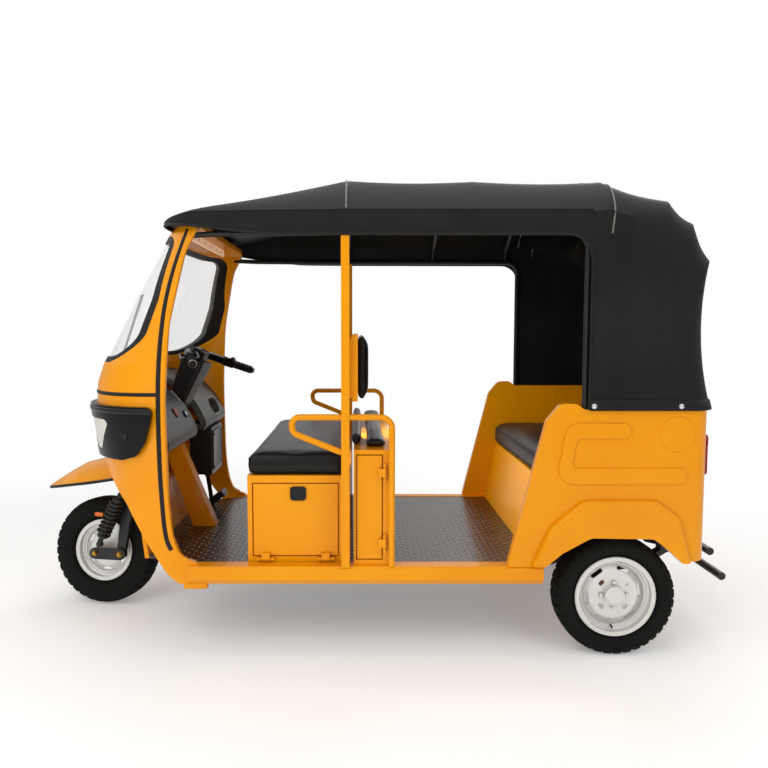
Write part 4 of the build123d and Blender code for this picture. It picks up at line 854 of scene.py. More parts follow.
# %% Hem and snap fasteners
HEM_TOP_Z = 1006.0
HEM_OUT = 3.0
HEM_SECTION = (
    (HEM_Z - 1, 1.0), (HEM_Z, HEM_OUT), (HEM_Z + 3, HEM_OUT + 1), (HEM_TOP_Z - 3, HEM_OUT + 1), (HEM_TOP_Z, 0.5),
)


def hem_plan(z, grow):
    """Left half of the hood's outline at one height, from the front edge round to the middle."""
    rear, corner = back_x(z) - grow, HOOD_CORNER + grow
    path = [(SPLIT_X - 3 + (rear + corner - SPLIT_X) * i / 6, TOP_HALF + grow) for i in range(7)]
    for degrees in range(9, 91, 9):
        a = math.radians(degrees)
        path.append((rear + corner - corner * math.sin(a), TOP_HALF - HOOD_CORNER + corner * math.cos(a)))
    return path + [(rear, (TOP_HALF - HOOD_CORNER) * (1 - i / 4)) for i in range(1, 5)]


hem_rows = []
for z, grow in HEM_SECTION:
    half_path = [(x, y, z) for x, y in hem_plan(z, grow)]
    hem_rows.append(half_path + mirrored(reversed(half_path[:-1])))
hem = shaped_grid(
    len(hem_rows[0]), len(hem_rows), lambda column, row: [v * MM for v in hem_rows[row][column]]
)
tidy_mesh(hem)
finish_with(hem, "SOLIDIFY", thickness=0.003, offset=0.0)
smooth(hem, 50)
settle(hem, "canopy_hem", canvas, "body", "canopy_vinyl")

SNAP_R, SNAP_Z, SNAP_FLAT = 9.0, 984.0, 0.4
# Columns: x, y, and the way that the snap faces along X and along Y.
SNAPS = [(x, side * (TOP_HALF + 4.0), 0, side) for x in (-862.0, -1189.0) for side in (1, -1)]
SNAPS += [(back_x(SNAP_Z) - 4.5, y, -1, 0) for y in (-380.0, 0.0, 380.0)]
snaps = []
for x, y, nx, ny in SNAPS:
    deselect()
    bpy.ops.mesh.primitive_uv_sphere_add(
        segments=20, ring_count=10, radius=SNAP_R * MM, location=(x * MM, y * MM, SNAP_Z * MM)
    )
    dome = bpy.context.object
    dome.scale = (SNAP_FLAT if nx else 1.0, SNAP_FLAT if ny else 1.0, 1.0)
    bpy.ops.object.transform_apply(location=True, rotation=True, scale=True)
    turn = (math.pi / 2 if ny else 0, math.pi / 2 if nx else 0, 0)
    snaps += [dome, ring(SNAP_R * 1.12, 1.6, x, y, SNAP_Z, turn)]
snap_set = merged(snaps)
smooth(snap_set, 60)
settle(snap_set, "canopy_snaps", chrome, "body", "black_metal")
print("snaps", len(SNAPS))

# %% [markdown]
# ## Padding
#
# Foam wrapped in vinyl swells between its edges. Each cushion starts as a rounded block a
# little smaller than the space the CAD solid holds. It is remeshed into even cells, blown
# up a little by Blender's cloth with air pressure, and held back by a cap on how far a
# point may move. What lies on a seat box or a board is pressed flat again.

# %% Swelling a block of foam
VOXEL = 0.013
PRESSURE = 4.0
SWELL_FRAMES = 20


def foam(name, low, high, bevel, cap, flat_axis, flat_at, node):
    """One padded piece between two corners in millimetres, flat where it rests."""
    block = rounded_block(low, high, bevel, 4)
    finish_with(block, "REMESH", mode="VOXEL", voxel_size=VOXEL)
    rest = [vertex.co.copy() for vertex in block.data.vertices]
    corner, inwards = (low, 1) if flat_at == "low" else (high, -1)
    wall = corner[flat_axis] * MM
    pick(block)
    cloth = block.modifiers.new("cloth", "CLOTH")
    cloth.settings.use_pressure = True
    cloth.settings.uniform_pressure_force = PRESSURE
    cloth.settings.effector_weights.gravity = 0.0
    cloth.settings.quality = 4
    cloth.point_cache.frame_start, cloth.point_cache.frame_end = 1, SWELL_FRAMES
    for step in range(1, SWELL_FRAMES + 1):
        scene.frame_set(step)
    bpy.ops.object.modifier_apply(modifier=cloth.name)
    for vertex, start in zip(block.data.vertices, rest):
        move = vertex.co - start
        if move.length > cap * MM:
            vertex.co = start + move.normalized() * cap * MM
        if (vertex.co[flat_axis] - wall) * inwards < 0:
            vertex.co[flat_axis] = wall
    scene.frame_set(1)
    finish_with(block, "SMOOTH", factor=0.5, iterations=3)
    finish_with(block, "SUBSURF", levels=1, render_levels=1)
    pick(block)
    bpy.ops.object.shade_smooth()
    settle(block, name, seat_vinyl, "body", "seat_vinyl")
    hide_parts(node)
    return block


# Columns: name, low and high corner, bevel, most that a point may move, axis and end of the
# side that rests flat, and the node that the piece stands for.
CUSHIONS = (
    ("driver_seat_pad", (68, -558, 704), (464, 558, 785), 26, 12, 2, "low", "driver_cushion"),
    ("driver_lumbar_pad", (12, -492, 813), (48, 492, 864), 14, 8, 2, "low", "driver_backrest"),
    ("locker_top_pad", (-90, -532, 812), (-4, 532, 842), 12, 8, 2, "low", "locker_pad"),
    ("driver_back_pad", (-6, -552, 998), (24, 552, 1252), 14, 12, 0, "high", "backrest_pad"),
    ("bench_seat_pad", (-1142, -562, 660), (-704, 562, 766), 34, 14, 2, "low", "bench_cushion"),
    ("bench_back_pad", (-1240, -552, 776), (-1188, 552, 1232), 22, 14, 0, "low", "bench_backrest"),
)
pads = {}
for row in CUSHIONS:
    pads[row[0]] = foam(*row)
    print(row[0], len(pads[row[0]].data.vertices), "points")

# %% Piping sewn round the seats
def sewn_line(pad, corners, radius, lift):
    """Snap a loop of corners onto a pad's skin and lay a cord of piping along it."""
    loop = []
    for (x0, y0, z0), (x1, y1, z1) in zip(corners, corners[1:] + corners[:1]):
        steps = max(2, int(math.dist((x0, y0, z0), (x1, y1, z1)) / 40))
        for i in range(steps):
            s = i / steps
            point = Vector((x0 + (x1 - x0) * s, y0 + (y1 - y0) * s, z0 + (z1 - z0) * s)) * MM
            _, spot, normal, _ = pad.closest_point_on_mesh(point)
            loop.append([v / MM for v in spot + normal * lift * MM])
    return tube(loop, radius, closed=True)


# Columns: pad, half width of the loop, and the (x, z) of one long side and of the other.
SEWN = (
    ("driver_seat_pad", 566, (455, 766), (60, 766)), ("driver_seat_pad", 566, (455, 716), (60, 716)),
    ("bench_seat_pad", 568, (-698, 748), (-1150, 748)), ("bench_seat_pad", 568, (-698, 678), (-1150, 678)),
    ("driver_back_pad", 560, (-2, 1256), (-2, 994)), ("bench_back_pad", 560, (-1190, 1240), (-1182, 780)),
)
PIPING_R, PIPING_LIFT = 3.2, 0.6
cords = []
for name, half, (x0, z0), (x1, z1) in SEWN:
    corners = [(x0, half, z0), (x0, -half, z0), (x1, -half, z1), (x1, half, z1)]
    cords.append(sewn_line(pads[name], corners, PIPING_R, PIPING_LIFT))
settle(merged(cords), "seat_piping", rubber, "body", "seat_vinyl")
print("seat piping runs", len(cords))

# %% [markdown]
# ## Tyres
#
# A moulded tyre is a ring with the same section all round, so a profile is spun about
# the axle. The tread needs grooves that a smooth ring lacks: the profile carries the
# grooves that run round, and blocks are parted by pressing every third strip of the
# shoulders inwards. The front tyre is turned to the angle at which the steering is parked.

# %% Spin a tyre
TREAD_STEPS = 108
SIPE_DEPTH = 0.0042


def tyre_section(outer, width, rim):
    """Half of the section as (radius, offset) from bead to the middle of the tread, in millimetres."""
    half = width / 2
    bead = [
        (rim - 11, half - 36), (rim - 10, half - 23), (rim + 7, half - 22), (rim + 10, half - 14),
        (rim + 16, half - 9), (rim + 17, half - 6.5), (rim + 20, half - 6), (rim + 30, half - 1),
    ]
    wall = [
        (rim + 44, half), (rim + 46, half - 1.5), (rim + 49, half - 1.5), (rim + 51, half),
        (outer - 17, half - 4), (outer - 9, half - 8), (outer - 4, half - 14), (outer - 1.5, half - 22),
    ]
    tread = [
        (outer - 0.6, half * 0.46), (outer - 6.5, half * 0.44), (outer - 6.5, half * 0.36),
        (outer - 0.3, half * 0.34), (outer, half * 0.12), (outer - 6, half * 0.10),
    ]
    return bead + wall + tread


def spun_tyre(name, outer, width, rim, centre, axle, body):
    """Spin the section about the axle, press the sipes and set the tyre in place.

    outer and rim are radii and width is the tyre's, in millimetres.
    """
    half_section = tyre_section(outer, width, rim)
    section = half_section + [(r, -w) for r, w in reversed(half_section)]
    deselect()
    bpy.ops.mesh.primitive_circle_add(vertices=len(section), radius=1, fill_type="NOTHING")
    ring = bpy.context.object
    for vertex, (r, w) in zip(ring.data.vertices, section):
        vertex.co = (r * MM, w * MM, 0)
    bpy.ops.object.mode_set(mode="EDIT")
    bpy.ops.mesh.select_all(action="SELECT")
    bpy.ops.mesh.spin(steps=TREAD_STEPS, angle=2 * math.pi, center=(0, 0, 0), axis=(0, 1, 0))
    bpy.ops.object.mode_set(mode="OBJECT")
    tidy_mesh(ring)

    def in_sipe(face):
        x, y, z = face.center
        strip = int(math.degrees(math.atan2(z, x)) % 360 / 360 * TREAD_STEPS + 0.001)
        return strip % 3 == 0 and math.hypot(x, z) > (outer - 16) * MM and abs(y) > width * 0.24 * MM

    choose(ring, in_sipe)
    bpy.ops.mesh.extrude_region_shrink_fatten(TRANSFORM_OT_shrink_fatten={"value": -SIPE_DEPTH})
    bpy.ops.object.mode_set(mode="OBJECT")
    tidy_mesh(ring)
    ring.rotation_euler = Vector((0, 1, 0)).rotation_difference(Vector(axle)).to_euler()
    ring.location = centre
    smooth(ring, 32)
    settle(ring, name, tyre_rubber, body, "tyre")
    return ring


FRONT_CENTRE = Vector((1.19958, -0.004409, 0.246404))
FRONT_AXLE = Vector((0.188432, 0.978148, 0.087867))
REAR_AXLE = Vector((0, 1, 0))
REAR_CENTRES = {label: Vector((-0.98, side * 0.535, 0.233)) for label, side in SIDES}
front = spun_tyre("front_tyre_tread", 245.0, 112.0, 142.0, FRONT_CENTRE, FRONT_AXLE, "front_wheel")
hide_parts("front_tyre")
for label, centre in REAR_CENTRES.items():
    rear = spun_tyre(
        "rear_tyre_tread_" + label, 233.0, 124.0, 158.0, centre, REAR_AXLE, "rear_wheel_" + label
    )
    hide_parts("rear_tyre_" + label)
print("tyres spun", 1 + len(REAR_CENTRES))

# %% [markdown]
# ## Wheel fittings
#
# Each rear wheel carries a plain centre cap, nuts on studs, rolled beads and a rubber
# valve, and the front wheel has beads alone. They are modelled at the origin, on an axle
# along Y, and carried to each wheel.

# %% Caps, nuts, lip beads and valves
def on_wheel(piece, centre, axle, side):
    """Carry a fitting from the origin, where the axle is Y, to its wheel."""
    turn = Vector((0, side, 0)).rotation_difference(Vector(axle) * side).to_matrix().to_4x4()
    flip = Matrix.Diagonal((1, side, 1, 1))
    piece.data.transform(Matrix.Translation(centre) @ turn @ flip)
    if side < 0:
        piece.data.flip_normals()


def centre_cap(radius, face_y):
    """A shallow stepped cap, inset and bevelled from a disc."""
    cap = drum(48, radius, 10, 0, face_y - 1, 0)
    inset_front(cap, (4, 0), (2, 2.5))
    ease_edges(cap, 1.2, 40)
    smooth(cap, 40)
    return cap


def nut(x, z, face_y, size, tall):
    """A domed hexagon nut with a washer face."""
    hexagon = drum(6, size, tall, x, face_y + tall / 2, z)
    inset_front(hexagon, (size * 0.25, size * 0.2))
    ease_edges(hexagon, 0.8, 30)
    pair = merged([hexagon, ring(size * 1.15, 1.8, x, face_y + 1, z, sides=6)])
    smooth(pair, 35)
    return pair


def lip_bead(radius, y, thick):
    """The rolled edge of the rim, or another round bead about Y."""
    deselect()
    bead = ring(radius, thick, 0, y, 0, around=72)
    bpy.ops.object.transform_apply(location=True, rotation=True, scale=True)
    smooth(bead, 60)
    return bead


STUD_R, STUD_FACE_Y = 50.0, 22.0
VALVE = ((6, 20, -122), (7, 32, -124), (9, 42, -128))
for label, side in SIDES:
    fittings = [centre_cap(38.5, 42.0), lip_bead(155.0, 47.0, 3.2), lip_bead(129.0, 20.0, 2.4)]
    for quarter in range(4):
        a = math.radians(90 * quarter)
        fittings.append(nut(STUD_R * math.cos(a), STUD_R * math.sin(a), STUD_FACE_Y, 8.5, 11.0))
    kit, valve = merged(fittings), tube(VALVE, 3.4)
    for piece in (kit, valve):
        on_wheel(piece, REAR_CENTRES[label], REAR_AXLE, side)
    settle(kit, "rear_wheel_fittings_" + label, wheel_silver, "rear_wheel_" + label, "wheel_silver")
    settle(valve, "rear_valve_" + label, rubber, "rear_wheel_" + label, "tyre")
kit = merged([lip_bead(139.0, 41.0, 3.0), lip_bead(139.0, -41.0, 3.0), lip_bead(114.0, 14.0, 2.2)])
on_wheel(kit, FRONT_CENTRE, FRONT_AXLE, 1)
settle(kit, "front_wheel_fittings", wheel_silver, "front_wheel", "wheel_silver")
print("wheel fittings on", 3, "wheels")

# %% [markdown]
# ## Front suspension fittings
#
# Coil springs wind round the dampers, and they turn with the steering. The places are
# worked out for wheels straight ahead, then turned about the steering axis by the parked
# angle, as the CAD pieces are.

# %% Coil springs
HEAD = Vector((0.76, 0.0, 1.14))
RAKE = math.radians(25)
PARKED = math.radians(-12)
STEER_TURN = (
    Matrix.Translation(HEAD)
    @ Matrix.Rotation(PARKED, 4, Vector((-math.sin(RAKE), 0, math.cos(RAKE))))
    @ Matrix.Translation(-HEAD)
)
SHOCK_LOW, SHOCK_TOP, SHOCK_Y = Vector((1168.0, 0, 292.0)), Vector((1064.0, 0, 520.0)), 141.0
COIL_R, WIRE_R, COILS = 30.0, 5.0, 8.5
COIL_START, COIL_LENGTH = 0.2, 0.66
POINTS_PER_COIL = 12


def coil(side):
    """A coil spring round one damper."""
    run = SHOCK_TOP - SHOCK_LOW
    out = Vector((0, 1, 0))
    sideways = run.normalized().cross(out)
    points = []
    for i in range(int(COILS * POINTS_PER_COIL) + 1):
        a = 2 * math.pi * i / POINTS_PER_COIL
        share = COIL_START + COIL_LENGTH * i / (COILS * POINTS_PER_COIL)
        spot = SHOCK_LOW + run * share + (out * math.cos(a) + sideways * math.sin(a)) * COIL_R
        points.append((spot.x, spot.y + side * SHOCK_Y, spot.z))
    return tube(points, WIRE_R, sides=3)


def steered(parts, name, finish, slot, turn=STEER_TURN):
    """Join pieces that ride on the steering, turn them to the parked angle and settle them."""
    kit = merged(parts)
    kit.data.transform(turn)
    return settle(kit, name, finish, "steering", slot)


springs = steered([coil(1), coil(-1)], "front_springs", black_steel, "black_metal")
print("springs", len(springs.data.polygons), "faces")

# %% [markdown]
# ## Black trims and rolled edges
#
# Flat rubber strips cover the joints of the pressed shell: one beside each door edge and
# one round the waist. A line is drawn well outside the panel and dropped onto it, so the
# strip follows the panel exactly. A narrow grid with a domed section is laid along that
# line and given a thickness. Door edges and the mudguard's lip are beads, so they are tubes.

# %% Lay a strip on a panel
def dropped(line, panels, toward=None):
    """Drop points, in metres, onto the nearest of several panels: places and outward directions.

    They drop to the nearest point, or along a direction, where points that miss are left out.
    """
    feet = []
    for spot in line:
        if toward:
            hits = [nodes[name].ray_cast(spot, Vector(toward)) for name in panels]
        else:
            hits = [nodes[name].closest_point_on_mesh(spot) for name in panels]
        hits = [hit for hit in hits if hit[0]]
        if hits:
            _, place, out, _ = min(hits, key=lambda hit: (hit[1] - spot).length)
            feet.append((place, out if toward else (spot - place).normalized()))
    return feet


STRIP_SECTION = (
    (-0.5, -0.4), (-0.46, 0.45), (-0.3, 0.9), (0.0, 1.0), (0.3, 0.9), (0.46, 0.45), (0.5, -0.4),
)


def laid_strip(feet, width, rise):
    """A domed strip along dropped points, in millimetres across and up."""
    def spot_of(i, row):
        across, up = STRIP_SECTION[row]
        place, out = feet[i]
        ahead = feet[min(i + 1, len(feet) - 1)][0] - feet[max(i - 1, 0)][0]
        sideways = out.cross(ahead).normalized()
        return place + sideways * across * width * MM + out * up * rise * MM

    strip = shaped_grid(len(feet), len(STRIP_SECTION), spot_of)
    middle = strip.data.polygons[len(strip.data.polygons) // 2]
    nearest = min(feet, key=lambda foot: (foot[0] - middle.center).length)
    if middle.normal.dot(nearest[1]) < 0:
        strip.data.flip_normals()
    finish_with(strip, "SOLIDIFY", thickness=0.0025, offset=-1.0)
    smooth(strip, 50)
    return strip


print("strips can be laid")

# %% Strips beside the doors and round the waist
SHELL_PANELS = ("front_shell_lower", "front_shell_upper")
OUTSIDE_Y = 680.0
DOOR_STRIPE = (
    (681, 1657), (706, 1586), (728, 1511), (749, 1421), (762, 1342), (771, 1252), (777, 1163), (781, 1051),
    (782, 900), (781, 780), (779, 679), (773, 589), (768, 511), (757, 448), (742, 424),
)
NOSE_CENTRE, NOSE_REACH, WAIST_Z = (763.0, 273.0), 400.0, 1026.0


def nose_arc(degrees, z):
    """Points at one height, well outside the left corner of the nose, at several turns."""
    turns = [math.radians(a) for a in degrees]
    x, y = NOSE_CENTRE
    return [(x + NOSE_REACH * math.sin(a), y + NOSE_REACH * math.cos(a), z) for a in turns]


waist_line = nose_arc(range(3, 91, 5), WAIST_Z) + [(1205, 140, WAIST_Z), (1210, 0, WAIST_Z)]
waist_line += mirrored(reversed(waist_line[:-1]))
strips = [laid_strip(dropped(smooth_line(waist_line), SHELL_PANELS), 15.0, 4.0)]
for side in (1, -1):
    stripe = smooth_line([(x, side * OUTSIDE_Y, z) for x, z in DOOR_STRIPE])
    strips.append(laid_strip(dropped(stripe, SHELL_PANELS, (0, -side, 0)), 18.0, 4.0))
settle(merged(strips), "shell_trims", rubber, "body", "seal_rubber")
print("trims laid", len(strips))

# %% Rolled door edges and the mudguard's lip
EDGE_R, LIP_R = 7.0, 6.5
EDGE_BACK, EDGE_SUNK = 6.0, 0.004
DOOR_EDGE = (
    (640, 377), (672, 382), (700, 394), (718, 420), (730, 456), (739, 500), (746, 560), (751, 640), (754, 800),
    (757, 1000), (750, 1140), (742, 1290), (714, 1430), (686, 1570), (664, 1612), (640, 1652),
)
beads = []
for side in (1, -1):
    edge_line = [Vector((x + EDGE_BACK, side * OUTSIDE_Y, z)) * MM for x, z in DOOR_EDGE]
    feet = dropped(edge_line, SHELL_PANELS, (0, -side, 0))
    beads.append(tube([(place - out * EDGE_SUNK) / MM for place, out in feet], EDGE_R))
settle(merged(beads), "door_edge_beads", enamel, "body", "body_paint")
LIP = [
    (1052, 205, 624), (1130, 198, 611), (1210, 190, 598), (1285, 168, 586), (1350, 140, 574), (1410, 90, 559),
    (1438, 48, 549), (1447, 26, 546),
]
lip_line = LIP + [(1449, 0, 546)] + mirrored(reversed(LIP))
settle(tube(lip_line, LIP_R), "mudguard_lip", rubber, "body", "seal_rubber")
print("door beads", len(beads))

# %% [markdown]
# ## Small mouldings
#
# Latches, switches, reflectors and pads are all round-cornered mouldings. One helper
# models such a plate at the origin, facing +Y: the corners of a block are bevelled, and
# its face is inset and sunk. A second helper carries it to its place and turns it to face
# the right way.

# %% Round-cornered plates
def plate(width, tall, round_by, thick, rim=0.0, sink=0.0):
    """A round-cornered plate in millimetres that faces +Y, with an optional sunk middle."""
    deselect()
    bpy.ops.mesh.primitive_cube_add(size=1, location=(0, thick * MM / 2, 0))
    piece = bpy.context.object
    piece.scale = (width * MM, thick * MM, tall * MM)
    bpy.ops.object.transform_apply(location=True, rotation=True, scale=True)

    def through(edge):
        a, b = (piece.data.vertices[i].co for i in edge.vertices)
        return abs(a.y - b.y) > thick * MM / 2

    choose(piece, through, "EDGE")
    bpy.ops.mesh.bevel(offset=round_by * MM, segments=6, affect="EDGES")
    bpy.ops.object.mode_set(mode="OBJECT")
    if rim:
        inset_front(piece, (rim, 0), (0.6 * abs(sink), -sink))
    ease_edges(piece, min(1.5, thick * 0.25), 50)
    smooth(piece, 40)
    return piece


def placed(piece, spot, facing, up=(0, 0, 1)):
    """Carry a piece that faces +Y at the origin to a place in millimetres, turned to face a direction."""
    y = Vector(facing).normalized()
    x = y.cross(Vector(up)).normalized()
    turn = Matrix((x, y, x.cross(y))).transposed().to_4x4()
    piece.data.transform(Matrix.Translation(Vector(spot) * MM) @ turn)
    return piece


print("plates can be placed")

# %% Latches on the battery doors, round dimples on the lamp housings
LATCH_X, LATCH_Z = 257.0, 634.0
for label, side in SIDES:
    [(foot, out)] = dropped([Vector((LATCH_X, side * 700, LATCH_Z)) * MM], ["battery_door_" + label])
    parts = [plate(62, 55, 13, 9, 4, 3), plate(40, 30, 8, 7.5, 3, 2)]
    for part in parts:
        placed(part, foot / MM - Vector((0, side * 0.6, 0)), (0, side, 0))
    settle(merged(parts), "door_latch_" + label, black_plastic, "battery_door_" + label, "black_plastic")

DIMPLE_X, DIMPLE_Z = 912.0, 866.0
dimples = []
for side in (1, -1):
    beside = Vector((DIMPLE_X, side * 760, DIMPLE_Z)) * MM
    [(foot, out)] = dropped([beside], ["headlamp_pods"], (0, -side, 0))
    dimples.append(placed(plate(25, 25, 12.2, 5, 4.5, 3), foot / MM - out * 1.5, out))
settle(merged(dimples), "lamp_housing_bolts", black_plastic, "body", "black_plastic")
print("latches and dimples", len(SIDES), len(dimples))

# %% [markdown]
# ## Dashboard
#
# The moulded dashboard is two lobes either side of the steering column: a plain face with
# a rocker switch on the left and an open pocket on the right. Each lobe is a grid: rows
# follow the section from the lower lip up to the windscreen, columns run across, and the
# edge beside the column rolls inwards. The pocket is pressed into the same grid.

# %% Two dashboard lobes
DASH_SECTION = (
    (852, 806), (800, 792), (770, 786), (750, 806), (748, 832), (772, 880), (800, 930), (846, 984), (900, 1036),
    (980, 1064), (1056, 1090),
)
DASH_INNER_Y, DASH_CORNER, DASH_CORNER_R = 97.0, (789.0, 273.0), 300.0
DASH_SIDE_Y = 574.0
ROLL_END = 24.0
ROLL = [(0.0, 30.0), (1.0, 20.0), (4.0, 10.0), (11.0, 3.0), (ROLL_END, 0.0)]
COLUMNS = ROLL + [(ROLL_END + 9.5 * i, 0.0) for i in range(1, 48)]
POCKET_Y, POCKET_Z, POCKET_HALF, POCKET_TALL, POCKET_DEEP = -400.0, 880.0, 80.0, 34.0, 44.0
section = smooth_line([(x, 0, z) for x, z in DASH_SECTION])
FACE_ROWS = len(section) * 0.7


def dash_reach(x):
    """Half width inside the shell at one station."""
    if x <= DASH_CORNER[0]:
        return DASH_SIDE_Y
    return DASH_CORNER[1] + math.sqrt(max(DASH_CORNER_R ** 2 - (x - DASH_CORNER[0]) ** 2, 0.0))


def pocket_sink(y, z):
    """How deep the pocket is pressed at one place: a round-cornered bowl."""
    far = (abs((y - POCKET_Y) / POCKET_HALF) ** 4 + abs((z - POCKET_Z) / POCKET_TALL) ** 4) ** 0.25
    share = min(max((1.12 - far) / 0.24, 0.0), 1.0)
    return POCKET_DEEP * share * share * (3 - 2 * share)


def dash_lobe(side):
    """One lobe of the dashboard as a grid with a rolled inner edge."""
    last = len(section) - 1

    def spot_of(column, row):
        spot = section[row] / MM
        ahead = section[min(row + 1, last)] - section[max(row - 1, 0)]
        inward = Vector((ahead.z, 0, -ahead.x)).normalized()
        inset, sink = COLUMNS[column]
        if inset > ROLL_END:
            share = (inset - ROLL_END) / (COLUMNS[-1][0] - ROLL_END)
            inset = ROLL_END + share * (dash_reach(spot.x) - DASH_INNER_Y - ROLL_END)
        y = DASH_INNER_Y + inset
        if side < 0 and row < FACE_ROWS:
            sink += pocket_sink(-y, spot.z)
        return (spot + inward * sink + Vector((0, side * y, 0))) * MM

    lobe = shaped_grid(len(COLUMNS), len(section), spot_of)
    front = [face for face in lobe.data.polygons if abs(face.center.z - 0.9) < 0.03]
    if sum(face.normal.x for face in front) > 0:
        lobe.data.flip_normals()
    finish_with(lobe, "SOLIDIFY", thickness=0.004, offset=-1.0)
    smooth(lobe, 50)
    return lobe


dash = merged([dash_lobe(1), dash_lobe(-1)])
settle(dash, "dashboard_moulding", dash_plastic, "body", "dash_plastic")
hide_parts("dashboard")
print("dashboard faces", len(dash.data.polygons))

# %% Rims of the pocket and the lobes
# The rims are beads in a light grey: a painted highlight along the rounded edges of the pocket and of the lobes
# beside the column.
FACE_OUT = Vector((-0.884, 0, 0.468))
LIP_X = 0.81
RIM_STEPS, RIM_GROW = 28, 1.1


def on_dash(y, z, lift):
    """Place on the dashboard's face in millimetres, lifted along its normal; the lower lip is passed over."""
    face = section[:int(FACE_ROWS)]
    spot = min(face, key=lambda p: abs(p.z / MM - z) + (50 if p.x > LIP_X else 0)) / MM
    return Vector((spot.x, y, spot.z)) + FACE_OUT * lift


pocket_rim = []
for i in range(RIM_STEPS):
    a = 2 * math.pi * i / RIM_STEPS
    c, s = math.cos(a), math.sin(a)
    y = POCKET_Y + POCKET_HALF * RIM_GROW * math.copysign(abs(c) ** 0.5, c)
    z = POCKET_Z + POCKET_TALL * RIM_GROW * math.copysign(abs(s) ** 0.5, s)
    _, place, _, _ = dash.closest_point_on_mesh(on_dash(y, z, 30.0) * MM)
    pocket_rim.append(tuple(place / MM))
rims = [tube(pocket_rim, 3.2, closed=True)]
rows = section[len(section) // 5:len(section) * 4 // 5:3]
for side in (1, -1):
    rims.append(tube([(p.x / MM, side * (DASH_INNER_Y + 9), p.z / MM) for p in rows], 3.0))
rim_highlight_finish = moulded("painted_highlight_grey_abs", "#8B8D8C", "#A3A5A4", 3.0, 0.35, 0.05)
settle(merged(rims), "dashboard_rim_highlights", rim_highlight_finish, "body", "dash_plastic")
print("dashboard rims", len(rims))

# %% Rocker switch and ignition lock
ROCKER, LOCK = (300, 918), (180, 905)
bezel = placed(plate(30, 44, 5, 8, 4, 3), on_dash(*ROCKER, -2), FACE_OUT)
lock = placed(plate(34, 34, 16.5, 10, 5, 2), on_dash(*LOCK, -2), FACE_OUT)
settle(merged([bezel, lock]), "dash_switch_bezels", black_plastic, "body", "black_plastic")
red_plastic = moulded("red_rocker_plastic", "#B01E18", "#C4281F", 2.0, 0.35, 0.05)
rocker = placed(plate(19, 32, 3, 7, 2, 1), on_dash(*ROCKER, 0.5), FACE_OUT)
settle(rocker, "dash_rocker", red_plastic, "body", "dash_plastic")
keyhole = placed(merged([plate(19, 19, 9, 5, 3, 1), plate(3, 12, 1, 6)]), on_dash(*LOCK, 4), FACE_OUT)
settle(keyhole, "dash_key_barrel", zinc, "body", "dash_plastic")
print("switch", rocker.name, "lock", keyhole.name)

# %% [markdown]
# ## Handlebar fittings
#
# Rubber grips with moulded rings, plated collars at their ends, switch pods, brake levers
# and a flat display over the stem. They are modelled in the steering's own frame, with the
# stem along its third axis, and turned with it to the parked angle.

# %% Grips, collars, pods and levers
STEER_FRAME = STEER_TURN @ Matrix.Translation(HEAD) @ Matrix.Rotation(-RAKE, 4, "Y")
BAR_TOP = 18.0
BAR_END, BAR_KNEE = (-132.0, 352.0, BAR_TOP), (22.0, 96.0, BAR_TOP)
GRIP_RINGS, GRIP_STEP = 12, 9
# Columns: way along the bar from its end, then x and z from the bar.
LEVER = ((-150, 18, -2), (-140, 48, -4), (-90, 56, -5), (-30, 52, -6), (16, 56, -6))
grips, collars, pods_set = [], [], []
for side in (1, -1):
    end, knee = (Vector((x, side * y, z)) for x, y, z in (BAR_END, BAR_KNEE))
    out = (end - knee).normalized()
    for i in range(GRIP_RINGS):
        bead = lip_bead(17.0 + (0.8 if i % 3 == 0 else 0.0), 0.0, 2.0)
        grips.append(placed(bead, end - out * (6 + GRIP_STEP * i), out))
    grips.append(placed(lip_bead(19.0, 0.0, 5.0), end - out * 121, out))
    grips.append(placed(centre_cap(15.0, 4.0), end + out * 8, out))
    collars.append(placed(lip_bead(14.0, 0.0, 4.0), end + out * 6, out))
    pods_set.append(placed(plate(46, 42, 9, 44, 6, -3), end - out * 172, out))
    switch_spot = end - out * 150 + Vector((-16, 0, 14))
    pods_set.append(placed(plate(30, 26, 6, 16, 3, -2), switch_spot, (-0.6, 0, 0.8)))
    lever = [end + out * far + Vector((x, 0, z)) for far, x, z in LEVER]
    pods_set.append(tube(lever, 5.0))
    sleeve = [knee - Vector((0, side * back, 0)) for back in (60, 20)] + [knee + out * far for far in (30, 110)]
    pods_set.append(tube(sleeve, 19.0, sides=6))
pods_set.append(placed(plate(96, 52, 12, 18, 6, 2.5), (2, 0, 26), (-0.12, 0, 1), (1, 0, 0)))
for parts, name, finish, slot in (
    (grips, "grip_rings", rubber, "seal_rubber"),
    (collars, "bar_collars", zinc, "black_metal"),
    (pods_set, "bar_switch_pods_and_levers", pod_plastic, "black_plastic"),
):
    steered(parts, name, finish, slot, STEER_FRAME)
print("handlebar fittings", len(grips), len(collars), len(pods_set))

# %% [markdown]
# Plated bolts hold the links of the front suspension, and an amber reflector stands on a
# short stay at each side of the fork.

